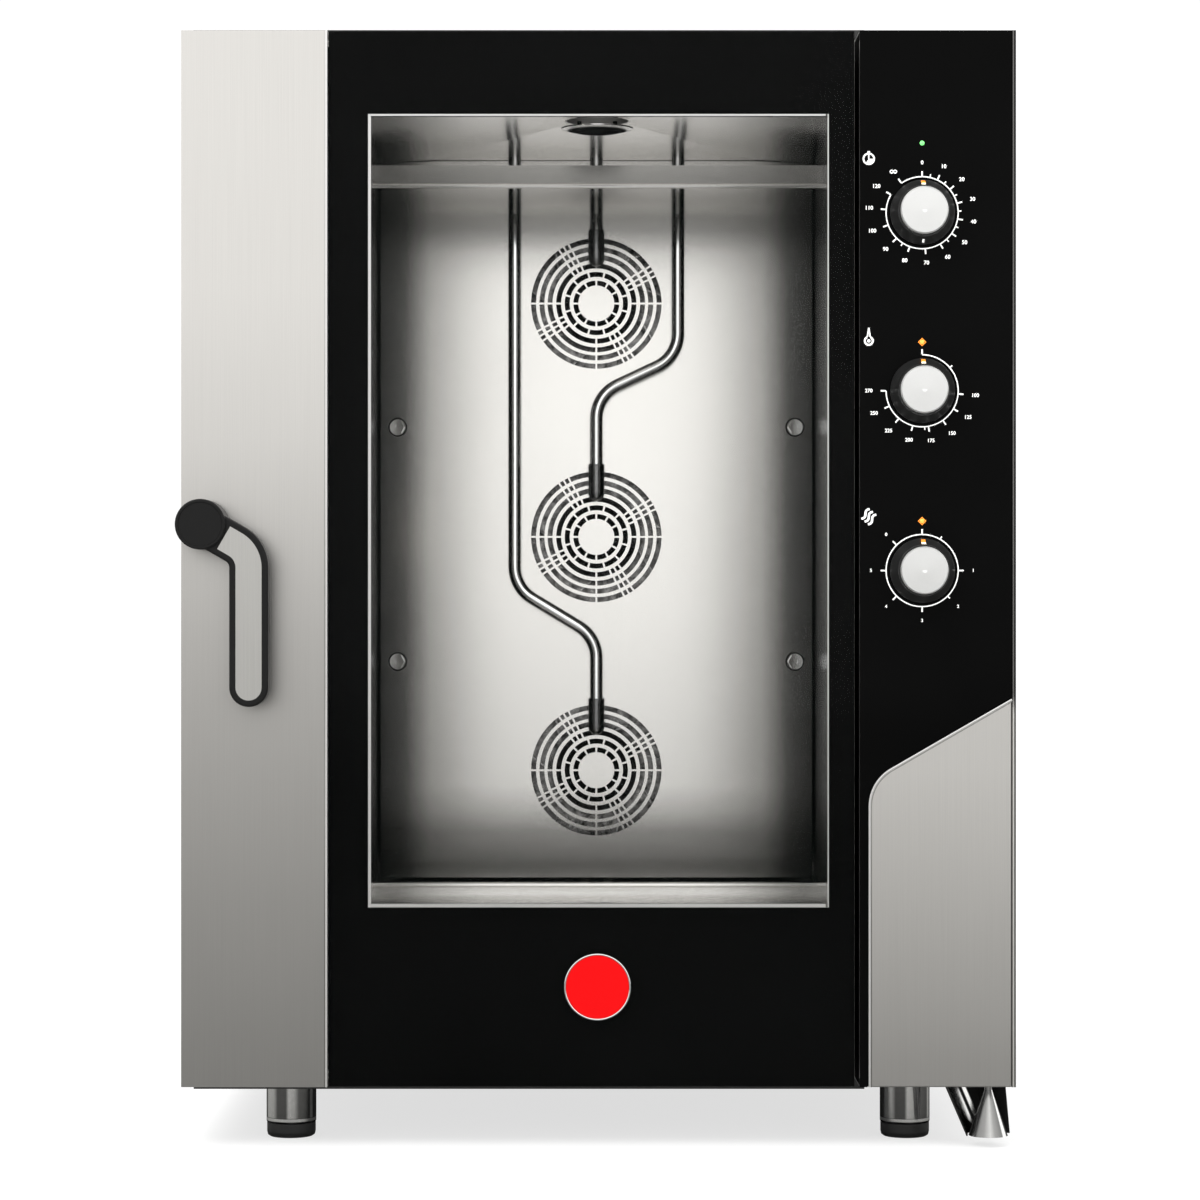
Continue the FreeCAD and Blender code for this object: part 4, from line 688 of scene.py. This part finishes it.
def steam_icon(bm, centre):
    """Three rising wisps, leaning to the right."""
    lean = math.radians(40)
    length, pitch, sway, half_width = 13.0 * MM, 4.4 * MM, 1.5 * MM, 1.1 * MM
    steps = 16
    for row in (-1, 0, 1):
        spine = []
        for i in range(steps + 1):
            t = i / steps
            along = (t - 0.5) * length
            across = row * pitch + sway * math.sin(t * 2 * math.pi)
            spine.append(Vector((across * math.cos(lean) + along * math.sin(lean),
                                 along * math.cos(lean) - across * math.sin(lean))))
        left, right = [], []
        for i, point in enumerate(spine):
            step = spine[min(i + 1, steps)] - spine[max(i - 1, 0)]
            side = Vector((-step.y, step.x)).normalized() * half_width
            left.append((centre[0] + (point + side).x, centre[1] + (point + side).y))
            right.append((centre[0] + (point - side).x, centre[1] + (point - side).y))
        add_outline(bm, left + right[::-1], PRINT_FRONT, INK)


def endless_mark(bm, centre):
    """Two small linked rings: runs without a time limit."""
    for side in (-1, 1):
        add_ring(bm, (centre[0] + side * 1.75 * MM, centre[1]), 1.0 * MM, 2.0 * MM)


def dial_prints():
    """White print on the black glass, one piece for each knob."""
    step = 25
    timer_labels = [(step * i, str(10 * i)) for i in range(13)]
    heats = (100, 125, 150, 175, 200, 225, 250, 270)
    heat_labels = [(95 + step * i, str(value)) for i, value in enumerate(heats)]
    steam_labels = [(315, "0")] + [(90 + 45 * i, str(i + 1)) for i in range(5)]
    plans = {
        "timer": ([(-35, 130), (130, 300)], [step * i for i in range(14)],
                  [12.5 + step * i for i in range(6)] + [212.5], timer_labels, 5.6 * MM, clock_icon),
        "temperature": ([(0, 135), (135, 270)], [0] + [95 + step * i for i in range(8)],
                        [50, 176], heat_labels, 5.2 * MM, thermometer_icon),
        "steam": ([(0, 180), (180, 360)], [0, 90, 180, 225, 270, 315], [30, 135], steam_labels,
                  4.6 * MM, steam_icon),
    }
    for name, (arcs, majors, minors, labels, size, icon) in plans.items():
        spot = middle(name + "_knob_skirt")
        centre = (spot.x, spot.z)
        bm = bmesh.new()
        dial(bm, centre, arcs, majors, minors, labels, size)
        icon(bm, (centre[0] + ICON_OFFSET[0], centre[1] + ICON_OFFSET[1]))
        if name == "timer":
            endless_mark(bm, polar(centre, LABEL_RADIUS, 325))
        title = name + "_dial_print"
        piece(title, from_bmesh(title, bm), WHITE_INK, "cabinet")


def lamp_diamonds():
    """Orange diamond outline round each of the two lower lamps."""
    outer, inner = 4.3 * MM, 3.3 * MM
    bm = bmesh.new()
    for name, rise in LAMP_RISE.items():
        spot = middle(name + "_knob_skirt")
        lamp = (spot.x, spot.z + rise)
        for a in (0, 90, 180, 270):
            b = a + 90
            corners = [polar(lamp, r, angle) for r, angle in ((outer, a), (outer, b), (inner, b), (inner, a))]
            add_outline(bm, corners, PRINT_FRONT, INK)
    piece("lamp_diamonds", from_bmesh("lamp_diamonds", bm), ORANGE_INK, "cabinet")


def skirt_mark(name, part, material, angle, inner, outer, width):
    """Inlaid mark on a knob's sloping skirt. inner and outer are (radius, depth behind the cap) pairs."""
    spot = middle(name + "_knob_cap")
    centre = (spot.x, spot.z)
    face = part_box(name + "_knob_cap")[1].y
    lift = 0.25 * MM
    bm = bmesh.new()
    rows = []
    for radius, depth in (inner, outer):
        for raised in (0.0, lift):
            sides = tick(centre, radius + raised, radius + raised, angle, width)[:2]
            rows.append([bm.verts.new((x, face + depth - raised, z)) for x, z in sides])
    inner_low, inner_high, outer_low, outer_high = rows
    bm.faces.new(inner_high + outer_high[::-1])
    bm.faces.new(inner_low + outer_low[::-1])
    for side in (0, 1):
        bm.faces.new([inner_low[side], inner_high[side], outer_high[side], outer_low[side]])
    bm.faces.new(inner_low + inner_high[::-1])
    bm.faces.new(outer_low + outer_high[::-1])
    title = name + "_knob_" + part
    piece(title, from_bmesh(title, bm), material, name + "_knob")


def knob_marks():
    """Orange and cream pointer on each knob, and a white tick opposite it on the timer's."""
    shoulder, middle_slope, rim = (26.4 * MM, 3.5 * MM), (28.4 * MM, 7.1 * MM), (31.2 * MM, 12.1 * MM)
    width = 4.4 * MM
    for name in KNOBS:
        skirt_mark(name, "pointer", CREAM_INK, 0, shoulder, middle_slope, width)
        skirt_mark(name, "pointer_tip", ORANGE_INK, 0, middle_slope, rim, width)
    skirt_mark("timer", "tail_mark", WHITE_INK, 180, middle_slope, rim, 2.2 * MM)


# ------------------------------------------------------------------ small metal details

def turned(name, profile, centre, body, material, segments=64):
    """A ring turned about an axis along Y, from a closed profile of (radius, y)."""
    bm = bmesh.new()
    rows = []
    for i in range(segments):
        a = 2 * math.pi * i / segments
        x, z = math.cos(a), math.sin(a)
        rows.append([bm.verts.new((centre[0] + r * x, y, centre[1] + r * z)) for r, y in profile])
    count = len(profile)
    for i in range(segments):
        here, after = rows[i], rows[(i + 1) % segments]
        for j in range(count):
            k = (j + 1) % count
            face = bm.faces.new([here[j], here[k], after[k], after[j]])
            face.smooth = True
    return piece(name, from_bmesh(name, bm), material, body)


def badge_ring():
    """Thin bright bezel round the plain badge."""
    low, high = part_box("badge")
    spot = middle("badge")
    r = (high.x - low.x) / 2
    y = high.y
    profile = [(r - 1.4 * MM, y - 0.6 * MM), (r - 1.2 * MM, y - 1.5 * MM), (r - 0.4 * MM, y - 1.9 * MM),
               (r + 0.5 * MM, y - 1.5 * MM), (r + 0.8 * MM, y)]
    turned("badge_ring", profile, (spot.x, spot.z), "door", LOOK["polished"], 96)


def louvre_hoods():
    """Pressed hood over every cooling slot of the back panel."""
    rows, pitch, first_row = 8, 16 * MM, 56 * MM
    side_reach, half_width, drop = 255 * MM, 61 * MM, 1.0 * MM
    section = [(0, 9.0), (1.6, 8.6), (3.4, 6.6), (4.4, 3.6), (4.6, 0.0), (3.9, 0.0), (3.6, 3.2), (2.7, 5.7),
               (1.0, 7.4), (0, 7.6)]
    bm = bmesh.new()
    for fan in FANS:
        height = middle(fan + "_fan_wheel").z
        for side in (-1, 1):
            x = side * side_reach
            for row in range(rows):
                z = height - first_row + row * pitch - drop
                first, last = [[bm.verts.new((x + end, BACK_FACE + out * MM, z + up * MM))
                                for out, up in section] for end in (-half_width, half_width)]
                for j in range(len(section)):
                    k = (j + 1) % len(section)
                    bm.faces.new([first[j], first[k], last[k], last[j]])
                bm.faces.new(first)
                bm.faces.new(last[::-1])
    piece("louvre_hoods", from_bmesh("louvre_hoods", bm), LOOK["case"], "cabinet")


def extruded(name, outlines, ends, axis, material, body):
    """Straight bars along an axis between two ends, one for each outline of points in the other two axes."""
    bm = bmesh.new()
    for outline in outlines:
        near, far = [[bm.verts.new({"x": (along, a, b), "z": (a, b, along)}[axis]) for a, b in outline]
                     for along in ends]
        for i in range(len(outline)):
            j = (i + 1) % len(outline)
            bm.faces.new([near[i], near[j], far[j], far[i]])
        bm.faces.new(near[::-1])
        bm.faces.new(far)
    return piece(name, from_bmesh(name, bm), material, body)


def bead_outline(centre_x, half, back_y, rise):
    """Low rounded section that faces the front."""
    steps = 8
    points = [(centre_x - half, back_y)]
    for i in range(steps + 1):
        a = math.pi * i / steps
        points.append((centre_x - half * math.cos(a), back_y - rise * (0.35 + 0.65 * math.sin(a))))
    return points + [(centre_x + half, back_y)]


def column_edge():
    """Rolled edge of the column's right side: a thin steel line with a painted highlight, bright along the
    cover and grey beside the glass, inside a painted shadow in the corner and the gap.
    """
    low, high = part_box("right_side_panel")
    ends = (low.z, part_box("top_cover")[1].z)
    line = bead_outline(high.x - 2.5 * MM, 0.8 * MM, PANEL_FRONT, 0.5 * MM)
    corner = bead_outline(high.x - 0.85 * MM, 0.85 * MM, PANEL_FRONT, 0.35 * MM)
    gap = bead_outline(high.x - 3.9 * MM, 0.6 * MM, PANEL_FRONT, 0.15 * MM)
    # Painted highlight line, and painted shadow in the corner and gap.
    extruded("edge_painted_highlight", [line], ends, "z", LOOK["edge_painted_highlight"], "cabinet")
    extruded("edge_corner_shadow", [corner, gap], ends, "z", LOOK["edge_painted_shadow"], "cabinet")


def follow(name, path, section, material, body):
    """A bar along a path of (x, z) points. The section is (offset to the right of the path, y) pairs."""
    bm = bmesh.new()
    rows = []
    for i, point in enumerate(path):
        here = Vector(point)
        before = (here - Vector(path[i - 1])).normalized() if i else None
        after = (Vector(path[i + 1]) - here).normalized() if i + 1 < len(path) else None
        along = ((before or after) + (after or before)).normalized()
        side = Vector((along.y, -along.x)) / along.dot(after or before)
        rows.append([bm.verts.new((here.x + side.x * out, y, here.y + side.y * out)) for out, y in section])
    for here, after in zip(rows, rows[1:]):
        for j in range(len(section)):
            k = (j + 1) % len(section)
            bm.faces.new([here[j], here[k], after[k], after[j]])
    bm.faces.new(rows[0])
    bm.faces.new(rows[-1][::-1])
    return piece(name, from_bmesh(name, bm), material, body)


def rolled_edge(name, path, front, body):
    """Bright rolled edge with a painted shadow line beside it, just inside a path on a steel face."""
    bright = bead_outline(1.15 * MM, 1.1 * MM, front, 0.5 * MM)
    # Painted shadow line beside the bright edge.
    painted_shadow_line = bead_outline(2.9 * MM, 0.55 * MM, front, 0.1 * MM)
    follow(name, path, bright, LOOK["bead"], body)
    follow(name + "_groove", path, painted_shadow_line, LOOK["painted_shadow_line"], body)


def facing_edges():
    """Rolled edges where the brushed steel meets the black glass."""
    low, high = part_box("door_side_strip")
    rolled_edge("strip_edge", [(high.x, high.z), (high.x, low.z)], DOOR_FRONT, "door")
    low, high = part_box("lower_control_cover")
    rise = math.tan(COVER_SLOPE)
    corner = high.z - (high.x - low.x) * rise
    start = corner - COVER_BEND * rise
    steps = 12
    path = [(low.x, low.z)]
    for i in range(steps + 1):
        a = math.pi - COVER_SLOPE * 2 * i / steps
        path.append((low.x + COVER_BEND + COVER_BEND * math.cos(a), start + COVER_BEND * math.sin(a)))
    path.append((high.x, high.z))
    rolled_edge("cover_edge", path, low.y, "cabinet")


def bead_section(edge, inward, width, taper, front, back):
    """Low section of (offset, y) that starts just inside an edge and narrows towards the back."""
    outer, wide, narrow = (edge + inward * reach for reach in (0.1 * MM, width, width - taper))
    return [(outer, front), (wide, front), (narrow, back), (outer, back)]


def window_bead():
    """Thin bright bead round the window, just behind the mask."""
    low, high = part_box("inner_glass")
    lap = 8 * MM
    half = -low.x - lap
    bottom, top = low.z + lap, high.z - lap
    mask_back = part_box("glass_mask")[1].y
    front, back = mask_back + 0.1 * MM, mask_back + 3.0 * MM
    left = bead_section(-half, 1, 5.2 * MM, 1.0 * MM, front, back)
    right = bead_section(half, -1, 3.4 * MM, 0.6 * MM, front, back)
    extruded("window_bead_sides", [left, right], (bottom, top), "z", LOOK["bead"], "door")
    beads = (bead_section(bottom, 1, 3.6 * MM, 0.4 * MM, front, back),
             bead_section(top, -1, 6.2 * MM, 0.6 * MM, front, back))
    sill, head = [[(y, z) for z, y in section] for section in beads]
    reach = half - 5.3 * MM
    extruded("window_bead_sill", [sill, head], (-reach, reach), "x", LOOK["bead"], "door")


def door_lips():
    """Rubber lips above and below the front frame that close the gap beside the door."""
    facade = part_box("front_facade")
    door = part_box("outer_glass")
    y0, y1 = facade[0].y - 1.5 * MM, facade[0].y
    reach, depth = 11.0 * MM, 4 * MM
    section = [(y0, 0), (y0 + 0.2 * MM, reach - 0.4 * MM), (y0 + 0.7 * MM, reach), (y1, reach - 0.5 * MM),
               (y1 + depth, 0.2 * MM), (y1 + depth, 0)]
    upper = [(y, door[1].z + out) for y, out in section]
    lower = [(y, door[0].z - out) for y, out in section]
    ends = (facade[0].x + 4 * MM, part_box("control_column_body")[0].x + 10 * MM)
    extruded("door_lips", [upper, lower], ends, "x", LOOK["seal"], "cabinet")


def deflector_flange():
    """Narrow flange that closes the slit between the deflector and the ceiling."""
    low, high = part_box("fan_deflector")
    eaves, crown = high.z + 3.7 * MM, high.z + 6.5 * MM
    half, inner, name = high.x - 1.0 * MM, 190 * MM, "deflector_flange"
    bm = bmesh.new()
    right = [(half, high.z), (half, eaves), (inner, crown)]
    outline = [(-half, high.z)] + right + [(-inner, crown), (-half, eaves)]
    add_outline(bm, outline, low.y, 1.0 * MM)
    piece(name, from_bmesh(name, bm), LOOK["deflector"], "cabinet")


def screw_seats():
    """Dark ring under each thumb screw of the deflector."""
    low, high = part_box("deflector_screws")
    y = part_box("fan_deflector")[0].y
    radius, rim, flange, thickness = 9.5 * MM, 1.2 * MM, 2.0 * MM, 0.9 * MM
    profile = [(radius, y), (radius, y - thickness), (radius + rim, y - thickness), (radius + flange, y)]
    for side, x in (("left", low.x + radius), ("right", high.x - radius)):
        for row, z in (("lower", low.z + radius), ("upper", high.z - radius)):
            name = "screw_seat_" + row + "_" + side
            turned(name, profile, (x, z), "cabinet", LOOK["seal"], 40)


column_edge()
facing_edges()
window_bead()
door_lips()
deflector_flange()
screw_seats()
dial_prints()
lamp_diamonds()
knob_marks()
badge_ring()
louvre_hoods()


# ------------------------------------------------------------------ stage, light and camera

def stage_floor():
    """Pale floor, lit from below as well so that its shadow stays light; in mirrors it looks darker."""
    seen_glow, mirrored_glow = 0.70, 0.40
    bm = bmesh.new()
    bmesh.ops.create_circle(bm, cap_ends=True, radius=14.0, segments=96)
    mesh = from_bmesh("floor", bm)
    floor = bpy.data.objects.new("floor", mesh)
    floor.location = (0, 0, FLOOR_Z)
    bpy.context.scene.collection.objects.link(floor)
    shader = Shader("studio_floor", Roughness=0.9, Specular_IOR_Level=0.1)
    path = shader.node("ShaderNodeLightPath").outputs
    plain = shader.ramp(shader.noise(3.0), [(0.3, (0.93, 0.93, 0.93)), (0.7, (0.95, 0.95, 0.95))])
    shader.colour(shader.blend(path["Is Glossy Ray"], plain, (0.16, 0.16, 0.155)))
    lit = shader.node("ShaderNodeEmission")
    lit.inputs["Strength"].default_value = 1.0
    direct = shader.math("MULTIPLY", path["Is Camera Ray"], seen_glow)
    mix = shader.node("ShaderNodeMixShader")
    shader.link(shader.math("ADD", direct, shader.spread(path["Glossy Depth"], 0.0, mirrored_glow, 1.4, 1.6)),
                mix.inputs["Fac"])
    shader.link(shader.principled.outputs["BSDF"], mix.inputs[1])
    shader.link(lit.outputs["Emission"], mix.inputs[2])
    shader.link(mix.outputs["Shader"], shader.tree.nodes["Material Output"].inputs["Surface"])
    mesh.materials.append(shader.material)


def studio_world():
    """White backdrop; the light is a tall soft gradient, brightest above."""
    world = bpy.data.worlds.new("studio")
    bpy.context.scene.world = world
    world.use_nodes = True
    tree = world.node_tree
    tree.nodes.clear()
    place = tree.nodes.new("ShaderNodeTexCoord").outputs["Generated"]
    split = tree.nodes.new("ShaderNodeSeparateXYZ")
    tree.links.new(place, split.inputs["Vector"])
    height = map_range(tree, split.outputs["Z"], 0.0, 1.0, -1.0, 1.0)
    levels = [(0.0, 0.25), (0.40, 0.30), (0.50, 0.80), (0.60, 1.05), (0.75, 1.1), (1.0, 1.2)]
    stops = [(position, (level, level, level * 0.985)) for position, level in levels]
    gradient = tree.nodes.new("ShaderNodeBackground")
    tree.links.new(colour_ramp(tree, height, stops), gradient.inputs["Color"])
    gradient.inputs["Strength"].default_value = 1.15
    backdrop = tree.nodes.new("ShaderNodeBackground")
    backdrop.inputs["Color"].default_value = (1, 1, 1, 1)
    backdrop.inputs["Strength"].default_value = 1.05
    path = tree.nodes.new("ShaderNodeLightPath")
    mix = tree.nodes.new("ShaderNodeMixShader")
    tree.links.new(path.outputs["Is Camera Ray"], mix.inputs["Fac"])
    tree.links.new(gradient.outputs["Background"], mix.inputs[1])
    tree.links.new(backdrop.outputs["Background"], mix.inputs[2])
    out = tree.nodes.new("ShaderNodeOutputWorld")
    tree.links.new(mix.outputs["Shader"], out.inputs["Surface"])


def area_light(name, place, aim, size, power, mirrored=False):
    """Soft rectangular light that points at a place."""
    lamp = bpy.data.lights.new(name, "AREA")
    lamp.shape = "RECTANGLE"
    lamp.size, lamp.size_y = size
    lamp.energy = power
    holder = bpy.data.objects.new(name, lamp)
    bpy.context.scene.collection.objects.link(holder)
    holder.location = place
    holder.rotation_euler = (Vector(aim) - Vector(place)).to_track_quat("-Z", "Y").to_euler()
    holder.visible_glossy = mirrored
    holder.visible_camera = False


def lights():
    """Soft studio lights, and a dim one just inside the window that lights the cavity."""
    window = middle("inner_glass")
    behind, depth = (window.x, window.y + 0.03, window.z), (window.x, 1.0, window.z)
    area_light("key", (-1.3, -2.4, 2.7), (0, 0, 0.7), (2.2, 1.6), 90)
    area_light("fill", (2.2, -2.0, 1.6), (0, 0, 0.6), (1.6, 1.6), 25)
    area_light("top", (0, 0.2, 3.2), (0, 0, 0), (3.0, 3.0), 70)
    area_light("cavity_glow", behind, depth, (0.34, 0.78), 0.58, True)


def camera():
    """Straight at the front, at half the height, from about three and a half metres."""
    distance, left, height = 3.5, 0.014, 0.560
    data = bpy.data.cameras.new("camera")
    data.sensor_width = 36.0
    data.lens = 103.14
    data.shift_x = 0.01275
    eye = bpy.data.objects.new("camera", data)
    bpy.context.scene.collection.objects.link(eye)
    eye.location = (-left, DOOR_FRONT - distance, height)
    eye.rotation_euler = (math.pi / 2, 0, 0)
    bpy.context.scene.camera = eye


stage_floor()
studio_world()
lights()
camera()
bpy.context.scene.view_settings.view_transform = "Standard"
